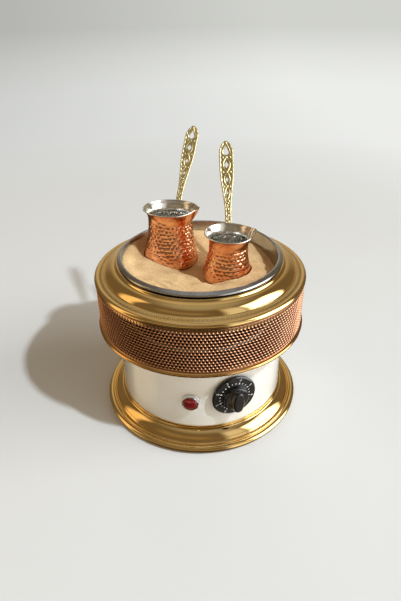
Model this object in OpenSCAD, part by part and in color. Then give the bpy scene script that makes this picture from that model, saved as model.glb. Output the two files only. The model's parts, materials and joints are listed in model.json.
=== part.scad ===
// Electric sand coffee heater: a spun brass and enamel housing with a steel bowl of sand,
// in which two hammered copper coffee pots (cezves) with cast brass handles stand.
// Units are millimetres. The origin is on the floor under the middle of the housing,
// +Z is up, and the controls face -Y.

/* [Housing] */
// Radius of the brass base over its rolled edge
base_r = 135.8; // [135:0.1:137]
// Radius of the enamelled drum
drum_r = 111; // [110:0.5:112]
// Height of the drum's lower edge
drum_bottom_z = 24.5; // [24:0.5:26]
// Height of the deck that lies on the drum
deck_z = 129; // [127:0.5:131]
// Outer radius of the perforated band
band_r = 134; // [133.5:0.1:134.5]
// Height of the perforated band's upper edge
band_top_z = 191.5; // [190:0.5:191.5]
// Height of the collar that carries the bowl
collar_z = 213.5; // [213:0.5:214]
// Thickness of the spun brass
brass_t = 1.1; // [0.9:0.1:1.2]
// Thickness of the steel sheet
sheet_t = 1; // [0.8:0.1:1]

/* [Bowl] */
// Outer radius of the bowl's wall
bowl_r = 99; // [97:0.5:99.5]
// Height of the underside of the bowl's floor
bowl_floor_z = 152; // [152:0.5:156]
// Height of the sand between the pots
sand_z = 200; // [196:1:203]

/* [Controls] */
// Turn of the thermostat knob to the right of the front
knob_turn = 14; // [13:0.5:20]
// Height of the thermostat knob's axis
knob_z = 74; // [70:1:78]
// Radius of the knob's skirt
skirt_r = 29; // [26:0.5:30]
// Turn of the pilot lamp to the left of the front
lamp_turn = 13.6; // [13:0.1:20]
// Height of the pilot lamp's axis
lamp_z = 68.4; // [60:0.1:74]
// Height of the cable inlet at the back
inlet_z = 48; // [44:1:60]

/* [Large pot] */
// Height of the large pot
large_h = 78; // [74:1:80]
// Radius of the large pot's rim
large_rim_r = 35.3; // [34:0.1:36]
// Radius of the large pot's neck
large_neck_r = 29; // [28:0.1:29.5]
// Radius of the large pot's base
large_base_r = 36.2; // [34:0.1:36.5]
// Turn of the large pot's handle from the back towards the right
large_yaw = 17.4; // [15:0.1:25]
// Sideways lean of the large pot's handle, towards the right
large_tilt = 4.9; // [-6:0.1:6]
// Turn of the large pot's spout from the right towards the front
large_spout = 23; // [0:1:30]

/* [Small pot] */
// Height of the small pot
small_h = 64; // [60:1:66]
// Radius of the small pot's rim
small_rim_r = 30.1; // [29:0.1:31]
// Radius of the small pot's neck
small_neck_r = 24.3; // [24:0.1:25]
// Radius of the small pot's base
small_base_r = 30.8; // [29:0.1:31]
// Turn of the small pot's handle from the back towards the right
small_yaw = 10.4; // [-5:0.1:15]
// Sideways lean of the small pot's handle, towards the right
small_tilt = -4.7; // [-6:0.1:6]
// Turn of the small pot's spout from the right towards the front
small_spout = 4.5; // [0:0.5:30]

/* [Handles] */
// Length of a handle's blade
blade_len = 123; // [115:1:123]
// Greatest width of a handle's blade
blade_w = 19; // [18:0.5:20]
// Width of a handle's stem
stem_w = 8.6; // [8:0.1:10]
// Thickness of a handle's blade
blade_t = 3; // [2.5:0.1:3]
// Rise of a handle above the pot's rim plane
blade_rise = 57; // [56:1:60]

/* [Hidden] */
$fn = 96;

brass = "#c9a44c";
dark_brass = "#b98a3c";
rose_brass = "#b9744c";
steel = "#a9abae";
zinc = "#b9bcc0";
copper = "#c8683c";
black = "#1d1d1f";

// Small gaps: between pieces that touch, round a shank in its hole, and round a turning shaft
touch_gap = 0.05;
shank_gap = 0.05;
running_gap = 0.05;
// Gap between pieces that move apart
lift_gap = 0.4;

// Base: rolled edge, bead, wide band and seat, from the outside in
roll_r = 4.2;
roll_z = 5.7;
base_band_c = [105.7, 1.9];
base_band_r = 21.8;
base_seat_r = 112.2;
seat_lip_z = drum_bottom_z + 2.2;
flange_in_r = 103;
base_screw_ring_r = 106.2;
foot_ring_r = 88;
foot_h = 5;
foot_r = 9;
pan_r = 102;
pan_z = 5;

// Deck, band and top
drum_in_r = drum_r - sheet_t;
deck_t = 1.5;
deck_r = band_r - 2.2;
deck_top_z = deck_z + deck_t;
tie_ring_r = 126;
vent_ring_r = 98.5;
vent_hole_r = 2.2;
core_hole_r = 16;
support_t = 1.2;
support_z = band_top_z - 1.8;
trim_bead_r = 2.6;
trim_z = deck_z + 0.6;
dome_c = [106.9, collar_z - 18.05];
dome_r = 15.2;
top_roll_c = [band_r - 3, band_top_z + 3.5];
top_roll_r = 4;
collar_in_r = 101;

// Heater stack
insulation_t = 6;
shield_z = deck_top_z + 0.1 + insulation_t + 0.1;
shield_r = 95;
plate_r = 88;
plate_t = 4;
plate_z = bowl_floor_z - lift_gap - plate_t + 0.2;
pillar_ring_r = 78;
element_r = 62;
element_tube_r = 3.5;
element_z = plate_z - 0.2 - element_tube_r;
element_end = 8;
clamp_t = 2;
clamp_z = element_z - element_tube_r - 0.1 - clamp_t;
leg_z = 104;

// Controls, as distances out from the axis of the housing
body_front = drum_in_r - 1.7;
body_depth = 30;
body_w = 34;
body_h = 44;
fixing_x = 14;
skirt_back = drum_r + 1.6;
shaft_r = 3;
lamp_hole_r = 8;
lamp_bezel_r = 11.2;
lens_face_r = 9.2;
inlet_r = 3.6;
inlet_len = 6.8;

// Bowl and sand
lip_z = collar_z + lift_gap;
corner_r = 20;
pocket_gap = 0.35;

// Pots
pot_t = 1.2;
flare_h = 14;
foot_round = 8;
// Height of a pot's widest place, from which its side draws in
belly_z = 9;
spout_h = 13;
spout_in = 6;
spout_foot_r = 1;
spout_tip_r = 9.5;
bracket_h = 13;
bracket_top = 11;
bracket_t = 2.5;
bracket_span = 26;
rivet_r = 1.6;
rivet_turn = 15;
// Round part of the teardrop hole that a handle hangs by
eye_r = 3.9;
// Diamond holes of a handle's blade: place along it and half width
blade_holes = [[91.5, 3.1], [72, 2.3], [55, 1.7]];
large_base = [-35.3, 37.9, 186.2];
large_lean = [2.05, 2.98];
small_base = [32.3, -16.6, 187];
small_lean = [1.77, -0.4];

// n + 1 points along an arc from angle a0 to a1
function arc(c, r, a0, a1, n) =
    [for (i = [0:n]) c + r * [cos(a0 + (a1 - a0) * i / n), sin(a0 + (a1 - a0) * i / n)]];
function unit(v) = v / norm(v);
// Unit vector of a pot's axis from its two leans
function lean_axis(l) = [sin(l.x), sin(l.y), sqrt(1 - sin(l.x) ^ 2 - sin(l.y) ^ 2)];

// Lays local +Z along the outward radius at a turn from the front, at height z
module radial(turn, z) {
    rotate([0, 0, turn]) translate([0, 0, z]) rotate([90, 0, 0]) children();
}

module ring_of(count, r, first = 0) {
    for (i = [0:count - 1]) rotate([0, 0, first + 360 * i / count]) translate([r, 0, 0]) children();
}

module tube(r_out, r_in, z0, z1) {
    translate([0, 0, z0]) difference() {
        cylinder(h = z1 - z0, r = r_out);
        translate([0, 0, -1]) cylinder(h = z1 - z0 + 2, r = r_in);
    }
}

module hex_nut(across, height, bore_r) {
    difference() {
        cylinder(h = height, r = across / sqrt(3), $fn = 6);
        translate([0, 0, -1]) cylinder(h = height + 2, r = bore_r);
    }
}

// Pan-head screw with its head's underside at z = 0 and its shank along +Z
module screw(r, length, head_r, head_h) {
    translate([0, 0, -head_h]) cylinder(h = head_h, r = head_r);
    cylinder(h = length, r = r);
}

// Round capillary through a list of points
module capillary(points, r) {
    for (i = [0:len(points) - 2]) {
        leg = points[i + 1] - points[i];
        translate(points[i])
            rotate(a = acos(leg.z / norm(leg)),
                v = leg.x == 0 && leg.y == 0 ? [1, 0, 0] : [-leg.y, leg.x, 0])
                cylinder(h = norm(leg), r = r, $fn = 24);
    }
    for (i = [1:len(points) - 2]) translate(points[i]) sphere(r = r * 1.04, $fn = 24);
}

// Insulated wire swept with eight sides through a list of points that never runs along X
module wire(points, r) {
    last = len(points) - 1;
    rings = [for (i = [0:last])
        let (t = unit(points[min(i + 1, last)] - points[max(i - 1, 0)]),
            u = unit(cross(t, [1, 0.15, 0.05])), v = cross(t, u))
        for (k = [0:7]) points[i] + r * (cos(45 * k) * u + sin(45 * k) * v)];
    polyhedron(rings, concat([[for (k = [0:7]) k]], [[for (k = [7:-1:0]) 8 * last + k]],
        [for (i = [0:last - 1]) for (k = [0:7])
            [8 * i + k, 8 * i + 8 + k, 8 * i + 8 + (k + 1) % 8, 8 * i + (k + 1) % 8]]));
}

// ---- Base ----

module base_ring() {
    color(brass) difference() {
        rotate_extrude($fn = 180) polygon(concat(
            arc([base_r - roll_r, roll_z], roll_r, -90, 108, 14),
            [[129.7, 9.3]],
            arc([128.1, 9.7], 1.5, 5, 150, 6),
            [[126.4, 10.1]],
            arc(base_band_c, base_band_r, 23, 67, 12),
            [[113.7, 22.6], [base_seat_r + 0.4, 23.2], [base_seat_r, seat_lip_z],
                [drum_r + 0.2, seat_lip_z], [drum_r + 0.2, drum_bottom_z],
                [flange_in_r + 1, drum_bottom_z], [flange_in_r + 1, drum_bottom_z - brass_t - 0.1],
                [111, drum_bottom_z - brass_t - 0.1]],
            arc(base_band_c, base_band_r - brass_t, 72, 24, 12),
            [[127.4, 8.7], [129.2, 8.4]],
            arc([base_r - roll_r, roll_z], roll_r - brass_t, 112, -90, 12)));
        ring_of(6, base_screw_ring_r, 30) cylinder(h = 60, r = 1.6);
    }
}

module base_pan() {
    color(zinc) difference() {
        rotate_extrude() polygon([[0, pan_z], [pan_r + 1.2, pan_z], [pan_r + 1.2, 22.1], [109.4, 22.1],
            [109.4, 23.25], [pan_r, 23.25], [pan_r, pan_z + 1.2], [0, pan_z + 1.2]]);
        ring_of(6, base_screw_ring_r, 30) cylinder(h = 40, r = 1.6);
        ring_of(4, foot_ring_r, 45) cylinder(h = 40, r = 2.1);
        for (k = [0:2]) ring_of(8 + 4 * k, 30 + 14 * k, 20 * k) cylinder(h = 40, r = 2.8);
        translate([30, 70, 0]) cylinder(h = 40, r = 2.1);
        for (x = [-46, -14]) translate([x, 61, 0]) cylinder(h = 40, r = 1.6);
    }
}

module rubber_feet() {
    color(black) ring_of(4, foot_ring_r, 45) difference() {
        cylinder(h = foot_h - touch_gap, r1 = foot_r - 0.8, r2 = foot_r);
        translate([0, 0, -1]) cylinder(h = 3.5, r = 4.2);
        cylinder(h = foot_h + 1, r = 2.1);
    }
}

module foot_screws() {
    color(steel) ring_of(4, foot_ring_r, 45) translate([0, 0, 2.45]) screw(2, 8, 3.8, 1.5);
}

module foot_nuts() {
    color(steel) ring_of(4, foot_ring_r, 45) translate([0, 0, pan_z + 1.25]) hex_nut(7, 3, 2 + shank_gap);
}

module base_screws() {
    color(steel) ring_of(6, base_screw_ring_r, 30)
        translate([0, 0, 22.05]) screw(1.5, 6.6, 2.7, 1.6);
}

module base_nuts() {
    color(steel) ring_of(6, base_screw_ring_r, 30)
        translate([0, 0, drum_bottom_z + sheet_t + touch_gap]) hex_nut(5.5, 2.4, 1.5 + shank_gap);
}

// ---- Drum and deck ----

module drum_shell() {
    lower_z = drum_bottom_z + touch_gap;
    upper_z = deck_z - touch_gap;
    color("#efe9dc") difference() {
        rotate_extrude($fn = 180) polygon([[flange_in_r, lower_z], [drum_r, lower_z], [drum_r, upper_z],
            [flange_in_r, upper_z], [flange_in_r, upper_z - sheet_t], [drum_in_r, upper_z - sheet_t],
            [drum_in_r, lower_z + sheet_t], [flange_in_r, lower_z + sheet_t]]);
        ring_of(6, base_screw_ring_r, 30) cylinder(h = 60, r = 1.6);
        ring_of(6, base_screw_ring_r, 0) translate([0, 0, 100]) cylinder(h = 60, r = 1.6);
        radial(knob_turn, knob_z) {
            translate([0, 0, 90]) cylinder(h = 40, r = 5);
            for (x = [-fixing_x, fixing_x]) translate([x, 0, 90]) cylinder(h = 40, r = 2.1);
        }
        radial(-lamp_turn, lamp_z) translate([0, 0, 90]) cylinder(h = 40, r = lamp_hole_r);
        radial(180, inlet_z) translate([0, 0, 90]) cylinder(h = 40, r = lamp_hole_r);
    }
}

module deck_plate() {
    color(zinc) difference() {
        tube(deck_r, core_hole_r, deck_z, deck_top_z);
        ring_of(36, vent_ring_r, 5) translate([0, 0, deck_z - 1]) cylinder(h = 4, r = vent_hole_r);
        ring_of(6, tie_ring_r, 30) translate([0, 0, deck_z - 1]) cylinder(h = 4, r = 2.1);
        ring_of(6, base_screw_ring_r, 0) translate([0, 0, deck_z - 1]) cylinder(h = 4, r = 1.6);
        ring_of(4, pillar_ring_r, 45) translate([0, 0, deck_z - 1]) cylinder(h = 4, r = 2.1);
        element_legs() translate([0, 0, -20]) cylinder(h = 60, r = 5);
        translate([40, -40, deck_z - 1]) cylinder(h = 4, r = 2.4);
    }
}

module deck_screws() {
    color(steel) ring_of(6, base_screw_ring_r, 0)
        translate([0, 0, deck_top_z + touch_gap]) mirror([0, 0, 1]) screw(1.5, 6.2, 2.7, 1.6);
}

module deck_nuts() {
    color(steel) ring_of(6, base_screw_ring_r, 0)
        translate([0, 0, deck_z - sheet_t - 2 * touch_gap - 2.4]) hex_nut(5.5, 2.4, 1.5 + shank_gap);
}

module trim_ring() {
    lip_in = deck_r + 0.1;
    lip_out = band_r - 0.85;
    color(dark_brass) difference() {
        rotate_extrude($fn = 180) polygon(concat(
            [[120.5, deck_z - 1.15], [lip_out, deck_z - 1.15]],
            arc([band_r - 0.3, trim_z], trim_bead_r, -100, 75, 14),
            [[lip_out, trim_z + 2.4], [lip_out, trim_z + 5.4], [lip_in, trim_z + 5.4],
                [lip_in, deck_z - touch_gap], [120.5, deck_z - touch_gap]]));
        ring_of(6, tie_ring_r, 30) cylinder(h = 200, r = 2.1);
    }
}

module perforated_band() {
    color(rose_brass) tube(band_r, band_r - 0.8, trim_z + 2.65, band_top_z, $fn = 180);
}

module support_ring() {
    color(zinc) difference() {
        tube(band_r - 2.2, 112, support_z, support_z + support_t);
        ring_of(6, tie_ring_r, 30) translate([0, 0, support_z - 1]) cylinder(h = 4, r = 2.1);
    }
}

module spacer_tubes() {
    color(steel) ring_of(6, tie_ring_r, 30)
        tube(3.6, 2.1, deck_top_z + touch_gap, support_z - touch_gap, $fn = 32);
}

module tie_rods() {
    color(steel) ring_of(6, tie_ring_r, 30)
        translate([0, 0, deck_z - 5.5]) cylinder(h = support_z - deck_z + 11, r = 2);
}

module tie_nuts() {
    color(steel) ring_of(6, tie_ring_r, 30) {
        translate([0, 0, deck_z - 1.2 - 3.2]) hex_nut(7, 3.15, 2 + shank_gap);
        translate([0, 0, support_z + support_t + touch_gap]) hex_nut(7, 3.2, 2 + shank_gap);
    }
}

module top_ring() {
    lip_in = band_r - 2;
    lip_out = band_r - 0.9;
    color(brass) rotate_extrude($fn = 180) polygon(concat(
        [[lip_in, support_z - 4], [lip_out, support_z - 4], [lip_out, top_roll_c.y - top_roll_r + 0.8]],
        arc(top_roll_c, top_roll_r, -58, 98, 14),
        [[129.9, top_roll_c.y + 4], [122.4, top_roll_c.y + 5.7], [121.9, top_roll_c.y + 5.2]],
        arc(dome_c, dome_r, 19.8, 85, 12),
        [[107.7, collar_z - 2.5], [107.2, collar_z - 0.6], [106.6, collar_z],
            [collar_in_r, collar_z], [collar_in_r, collar_z - brass_t],
            [106.1, collar_z - brass_t], [106.5, collar_z - 4]],
        arc(dome_c, dome_r - brass_t, 85, 17, 12),
        [[122.2, top_roll_c.y + 4.2], [129.6, top_roll_c.y + 2.7]],
        arc(top_roll_c, top_roll_r - brass_t, 98, -40, 10),
        [[lip_in, support_z + support_t + 1.5]]));
}

// ---- Heater ----

module element_legs() {
    for (s = [-1, 1])
        translate([s * element_r * sin(element_end), element_r * cos(element_end), leg_z + 8]) children();
}

module insulation_disc() {
    color("#d9d4c4") difference() {
        tube(94, core_hole_r, deck_top_z + 0.1, deck_top_z + 0.1 + insulation_t);
        ring_of(4, pillar_ring_r, 45) cylinder(h = 200, r = 4.4);
        element_legs() cylinder(h = 60, r = 5);
        translate([40, -40, 100]) cylinder(h = 60, r = 2.4);
    }
}

module heat_shield() {
    color(steel) difference() {
        rotate_extrude() polygon([[core_hole_r, shield_z], [shield_r, shield_z], [shield_r, shield_z + 9],
            [shield_r - 1, shield_z + 9], [shield_r - 1, shield_z + 1], [core_hole_r, shield_z + 1]]);
        ring_of(4, pillar_ring_r, 45) cylinder(h = 200, r = 4.4);
        element_legs() cylinder(h = 60, r = 5);
        translate([40, -40, 100]) cylinder(h = 60, r = 2.4);
    }
}

module plate_pillars() {
    color(steel) ring_of(4, pillar_ring_r, 45) difference() {
        union() {
            translate([0, 0, deck_top_z + touch_gap])
                cylinder(h = plate_z - deck_top_z - 2 * touch_gap, r = 4);
            translate([0, 0, plate_z - 1]) cylinder(h = 3, r = 2.4);
        }
        translate([0, 0, deck_z]) cylinder(h = 12, r = 2 + shank_gap);
    }
}

module pillar_screws() {
    color(steel) ring_of(4, pillar_ring_r, 45)
        translate([0, 0, deck_z - touch_gap]) screw(2, 10, 3.8, 2);
}

module hot_plate() {
    color("#5c5e62") difference() {
        translate([0, 0, plate_z]) cylinder(h = plate_t, r = plate_r);
        ring_of(4, pillar_ring_r, 45) translate([0, 0, plate_z - 1]) cylinder(h = 3.3, r = 2.5);
        translate([0, 0, plate_z - 1]) cylinder(h = 3.6, r = 2.5 + shank_gap);
    }
}

module heating_element() {
    color("#6e6a66") union() {
        translate([0, 0, element_z]) rotate([0, 0, 90 + element_end])
            rotate_extrude(angle = 360 - 2 * element_end, $fn = 96)
                translate([element_r, 0]) circle(r = element_tube_r, $fn = 32);
        element_legs() {
            cylinder(h = element_z - leg_z - 8, r = element_tube_r, $fn = 32);
            translate([0, 0, -8]) cylinder(h = 9, r = 1.5, $fn = 24);
        }
        for (s = [-1, 1])
            translate([s * element_r * sin(element_end), element_r * cos(element_end), element_z])
                sphere(r = element_tube_r + 0.15, $fn = 32);
    }
}

module element_clamp() {
    color(steel) translate([0, 0, clamp_z]) difference() {
        translate([-70, -6, 0]) cube([140, 12, clamp_t]);
        translate([0, 0, -1]) cylinder(h = 4, r = 2.6);
    }
}

module clamp_bolt() {
    color(steel) translate([0, 0, clamp_z - touch_gap]) screw(2.5, plate_z + 2.4 - clamp_z, 4.5, 3);
}

module thermostat_bulb() {
    bulb_z = plate_z - 3.3;
    color("#b87a50") union() {
        translate([-30, -38, bulb_z]) rotate([0, 90, 0]) cylinder(h = 60, r = 3);
        capillary([[29, -38, bulb_z], [40, -40, bulb_z], [40, -40, 112], [30, -84, 106], [22.6, -90, 104],
            [22.6, -90, knob_z + body_h / 2 + 0.2]], 0.9);
    }
}

// ---- Controls ----

module thermostat_body() {
    color("#d8d2c2") radial(knob_turn, knob_z) difference() {
        union() {
            translate([-body_w / 2, -body_h / 2, body_front - body_depth])
                cube([body_w, body_h, body_depth - 2]);
            translate([-18, -12, body_front - 2.5]) cube([36, 24, 2.5]);
        }
        translate([0, 0, body_front - 16]) cylinder(h = 20, r = shaft_r + running_gap);
        for (x = [-fixing_x, fixing_x])
            translate([x, 0, body_front - 8]) cylinder(h = 12, r = 2 + shank_gap);
    }
}

module thermostat_screws() {
    color(steel) radial(knob_turn, knob_z)
        for (x = [-fixing_x, fixing_x])
            translate([x, 0, drum_r + 0.1]) mirror([0, 0, 1]) screw(2, 9, 3.6, 1.3);
}

module thermostat_shaft() {
    color(steel) radial(knob_turn, knob_z) translate([0, 0, body_front - 15.5]) difference() {
        cylinder(h = 30, r = shaft_r);
        translate([-shaft_r, 2, 18]) cube([2 * shaft_r, shaft_r, 20]);
    }
}

module knob() {
    skirt_t = 3.6;
    hub_r = 17;
    grip_h = 15;
    // Half widths of the finger grip at the hub and at its top
    grip_foot = 7.5;
    grip_top = 4.2;
    face = skirt_back + skirt_t;
    color(black) radial(knob_turn, knob_z) difference() {
        union() {
            rotate_extrude() polygon([[0, skirt_back], [skirt_r - 0.6, skirt_back],
                [skirt_r, skirt_back + 0.6], [skirt_r, skirt_back + 1.4],
                [skirt_r - 1.6, face], [0, face]]);
            rotate_extrude() polygon(concat([[0, face - 1], [hub_r + 1, face - 1]],
                arc([hub_r - 2, face + 6], 2, 0, 90, 5), [[0, face + 8]]));
            intersection() {
                translate([0, 0, face - 1]) cylinder(h = grip_h + 1, r1 = hub_r, r2 = hub_r - 1);
                rotate([90, 0, 0]) linear_extrude(2 * hub_r, center = true)
                    polygon([[-grip_foot, face - 1], [grip_foot, face - 1], [grip_foot, face + 7],
                        [grip_top + 0.8, face + grip_h - 1], [grip_top, face + grip_h],
                        [-grip_top, face + grip_h], [-grip_top - 0.8, face + grip_h - 1],
                        [-grip_foot, face + 7]]);
            }
        }
        translate([0, 0, skirt_back - 1]) cylinder(h = 2.6, r = 20);
        translate([0, 0, skirt_back - 1]) cylinder(h = 13.5, r = shaft_r + shank_gap);
    }
}

module pilot_body() {
    color(black) radial(-lamp_turn, lamp_z) translate([0, 0, 86])
        cylinder(h = drum_r - 86, r = lamp_hole_r - 0.1);
}

module pilot_nut() {
    color(zinc) radial(-lamp_turn, lamp_z) translate([0, 0, 105.5]) difference() {
        cylinder(h = 3.4, r = 11, $fn = 6);
        translate([0, 0, -1]) cylinder(h = 6, r = lamp_hole_r);
    }
}

module pilot_bezel() {
    wall = drum_r + 0.1;
    color("silver") radial(-lamp_turn, lamp_z) rotate_extrude() polygon([[lamp_hole_r, wall],
        [lamp_bezel_r, wall], [lamp_bezel_r, wall + 1.1], [lamp_bezel_r - 0.5, wall + 4.5],
        [lamp_bezel_r - 0.9, wall + 5.9], [lamp_bezel_r - 1.4, wall + 6.2],
        [lens_face_r + 0.1, wall + 5.8], [lens_face_r + 0.1, wall + 1.4], [lamp_hole_r, wall + 1.4]]);
}

module pilot_lens() {
    dome_depth = 3;
    face = 5.6;
    dome = (lens_face_r ^ 2 + dome_depth ^ 2) / (2 * dome_depth);
    color("darkred") radial(-lamp_turn, lamp_z) translate([0, 0, drum_r + 0.1]) union() {
        cylinder(h = face, r = lamp_hole_r - 0.1);
        translate([0, 0, 1.5]) cylinder(h = face - 1.5, r = lens_face_r);
        translate([0, 0, face]) intersection() {
            translate([0, 0, dome_depth - dome]) sphere(r = dome);
            cylinder(h = dome_depth + 1, r = lens_face_r);
        }
    }
}

module terminal_block() {
    color("ivory") difference() {
        translate([-50, 52, pan_z + 1.25]) cube([40, 18, 15]);
        for (x = [-46, -14]) translate([x, 61, 0]) cylinder(h = 40, r = 1.6);
        for (x = [-38, -30, -22]) translate([x, 61, 12]) cylinder(h = 40, r = 1.6);
    }
}

module terminal_screws() {
    top = pan_z + 1.25 + 15 + touch_gap;
    color(steel) {
        for (x = [-46, -14]) translate([x, 61, top]) mirror([0, 0, 1]) screw(1.5, 18, 2.6, 1.4);
        for (x = [-38, -30, -22]) translate([x, 61, top]) mirror([0, 0, 1]) screw(1.5, 6, 2.6, 1.4);
    }
}

module earth_screw() {
    color(brass) translate([30, 70, 0]) {
        translate([0, 0, pan_z - touch_gap]) screw(2, 14, 3.8, 1.8);
        translate([0, 0, pan_z + 1.25]) hex_nut(7, 3, 2 + shank_gap);
    }
}

module wiring() {
    wire_r = 1.2;
    tip_x = element_r * sin(element_end);
    tip_y = element_r * cos(element_end);
    color("#8a3b2c") union() {
        wire([[-44, 51.8, 14], [-44, 44, 14], [-44, 44, 80], [-tip_x, tip_y, 96],
            [-tip_x, tip_y, leg_z - 0.2]], wire_r);
        wire([[-36, 51.8, 14], [-36, 40, 14], [-20, -20, 14], [10, -66, 40], [10.9, -76, 64]], wire_r);
        wire([[26.4, -73, 64], [26, -60, 60], [20, 40, 60], [tip_x, tip_y, 96],
            [tip_x, tip_y, leg_z - 0.2]], wire_r);
        wire([[-28, 51.8, 14], [-28, 40, 20], [-24.5, -60, 40], [-24, -82, lamp_z]], wire_r);
        wire([[-18, 51.8, 14], [-18, 40, 26], [-17.5, -60, 46], [-17.6, -83.2, lamp_z]], wire_r);
    }
}

module cable_grommet() {
    neck_r = lamp_hole_r - 0.1;
    flange_r = 10.5;
    color(black) radial(180, inlet_z) difference() {
        union() {
            translate([0, 0, 105.5]) cylinder(h = drum_r - 105, r = neck_r);
            translate([0, 0, 105.5]) cylinder(h = 3.5, r = flange_r);
            translate([0, 0, drum_r + 0.1]) cylinder(h = 2.9, r1 = flange_r, r2 = flange_r - 1);
            translate([0, 0, drum_r + 0.1]) cylinder(h = inlet_len + 0.1, r1 = neck_r, r2 = 6);
        }
        translate([0, 0, 100]) cylinder(h = drum_r + 0.2 - 100, r = 4.6);
        translate([0, 0, 100]) cylinder(h = 30, r = inlet_r);
    }
}

// ---- Bowl and sand ----

module sand_bowl() {
    in_r = bowl_r - sheet_t;
    corner_z = bowl_floor_z + sheet_t + corner_r;
    color(steel) rotate_extrude($fn = 180) polygon(concat(
        [[0, bowl_floor_z + sheet_t]],
        arc([in_r - corner_r, corner_z], corner_r, -90, 0, 10),
        [[in_r, lip_z + 2.2]],
        arc([in_r + 2, lip_z + 2.2], 2, 172, 68, 6),
        [[104.3, lip_z + 1.9], [104.8, lip_z + 1.2], [104.8, lip_z], [103.7, lip_z],
            [100.6, lip_z + 2.6], [bowl_r + 0.6, lip_z + 2.3], [bowl_r, lip_z + 1]],
        arc([in_r - corner_r, corner_z], corner_r + sheet_t, 0, -90, 10),
        [[0, bowl_floor_z]]));
}

module sand() {
    r = bowl_r - sheet_t - 0.1;
    corner_z = bowl_floor_z + sheet_t + corner_r;
    color("#cfae80") difference() {
        rotate_extrude() polygon(concat(
            [[0, bowl_floor_z + sheet_t + 0.1]],
            arc([r - corner_r, corner_z + 0.1], corner_r, -90, 0, 10),
            [[r, sand_z + 4], [90, sand_z + 2], [74, sand_z], [0, sand_z]]));
        place_large() translate([0, 0, -pocket_gap]) cylinder(h = 60, r = large_base_r + pocket_gap);
        place_small() translate([0, 0, -pocket_gap]) cylinder(h = 60, r = small_base_r + pocket_gap);
    }
}

// ---- Pots ----

module place(base, lean) {
    axis = lean_axis(lean);
    translate(base) rotate(a = acos(axis.z), v = [-axis.y, axis.x, 0]) children();
}
module place_large() { place(large_base, large_lean) children(); }
module place_small() { place(small_base, small_lean) children(); }

// Outline of a pot from its base's round corner, up the waisted side and out to the rim
function pot_side(h, rim, neck, base, t) = let (neck_z = h - flare_h, steps = 12) concat(
    [for (i = [0:5]) let (a = -90 + 18 * i)
        [base - foot_round + (foot_round - t) * cos(a), foot_round + (foot_round - t) * sin(a)]],
    [for (i = [0:steps]) let (u = i / steps)
        [neck - t + (base - neck) * (1 - u) ^ 3 * (1 + 3 * u), belly_z + (neck_z - belly_z) * u]],
    [for (i = [1:5]) let (u = i / 5) [neck - t + (rim - neck) * u ^ 2, neck_z + flare_h * u]]);

module rivet_places(h, neck, yaw) {
    for (s = [-1, 1]) rotate([0, 0, 90 - yaw + s * rivet_turn])
        translate([neck, 0, h - bracket_top - bracket_h / 2]) rotate([0, 90, 0]) children();
}

// Cone of a pot's spout, drawn in by a wall's thickness t
module spout_cone(h, rim, spout, t) {
    rotate([0, 0, -spout]) translate([rim - spout_in - t / 3, 0, h - spout_h + 1.75 * t])
        cylinder(h = spout_h, r1 = spout_foot_r - t / 4, r2 = spout_tip_r + t / 6);
}

module pot_shell(h, rim, neck, base, yaw, spout) {
    difference() {
        union() {
            difference() {
                rotate_extrude() polygon(concat([[0, 0]], pot_side(h, rim, neck, base, 0), [[0, h]]));
                rotate_extrude() polygon(concat([[0, pot_t]], pot_side(h, rim, neck, base, pot_t),
                    [[rim - pot_t + 0.6, h + 1], [0, h + 1]]));
            }
            difference() {
                spout_cone(h, rim, spout, 0);
                translate([0, 0, h - spout_h - 1])
                    cylinder(h = spout_h + 2, r1 = neck - pot_t / 2, r2 = rim - pot_t + 0.3);
            }
        }
        spout_cone(h, rim, spout, pot_t);
        rivet_places(h, neck, yaw) translate([0, 0, -6]) cylinder(h = 12, r = rivet_r + shank_gap);
    }
}

// Half the blade's width at distance s along it
function half_width(s) = let (u = s / blade_len,
        swell = (1 - cos(180 * min(1, max(0, (u - 0.22) / 0.5)))) / 2,
        tip = min(1, (blade_len - s) / 16))
    (stem_w / 2 + (blade_w - stem_w) / 2 * swell) * sin(90 * tip) ^ 0.7;

module handle_blade() {
    steps = 30;
    near = [for (i = [0:steps]) blade_len * i / steps];
    outline = concat([for (s = near) if (s < blade_len) [half_width(s), s]], [[0, blade_len]],
        [for (i = [steps - 1:-1:0]) [-half_width(near[i]), near[i]]]);
    difference() {
        translate([0, 0, -blade_t / 2]) linear_extrude(height = blade_t) polygon(outline);
        translate([0, blade_len - 15, -5]) linear_extrude(height = 10) {
            circle(r = eye_r);
            polygon([[-0.955 * eye_r, 0.3 * eye_r], [0.955 * eye_r, 0.3 * eye_r], [0, 2.4 * eye_r]]);
        }
        for (hole = blade_holes)
            translate([0, hole[0], -5]) scale([1, 1.45, 1]) cylinder(h = 10, r = hole[1], $fn = 4);
    }
}

module pot_handle(h, neck, yaw, tilt) {
    inner = neck + 1.15;
    rotate([0, 0, -yaw]) difference() {
        union() {
            rotate([0, 0, 90 - bracket_span]) rotate_extrude(angle = 2 * bracket_span, $fn = 120)
                translate([inner, h - bracket_top - bracket_h]) square([bracket_t, bracket_h]);
            translate([0, neck + 2.7, h - 17]) rotate([blade_rise, 0, 0]) rotate([0, 0, -tilt])
                handle_blade();
        }
        rotate([0, 0, yaw]) rivet_places(h, neck, yaw)
            translate([0, 0, -6]) cylinder(h = 14, r = rivet_r + shank_gap);
    }
}

module pot_rivets(h, neck, yaw) {
    outer = 1.15 + bracket_t + touch_gap;
    rivet_places(h, neck, yaw) {
        translate([0, 0, -3]) cylinder(h = outer + 3.5, r = rivet_r, $fn = 32);
        translate([0, 0, outer]) cylinder(h = 1.4, r1 = 3, r2 = 1.8, $fn = 32);
        translate([0, 0, -3.2]) cylinder(h = 1.2, r1 = 1.8, r2 = 2.8, $fn = 32);
    }
}

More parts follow.
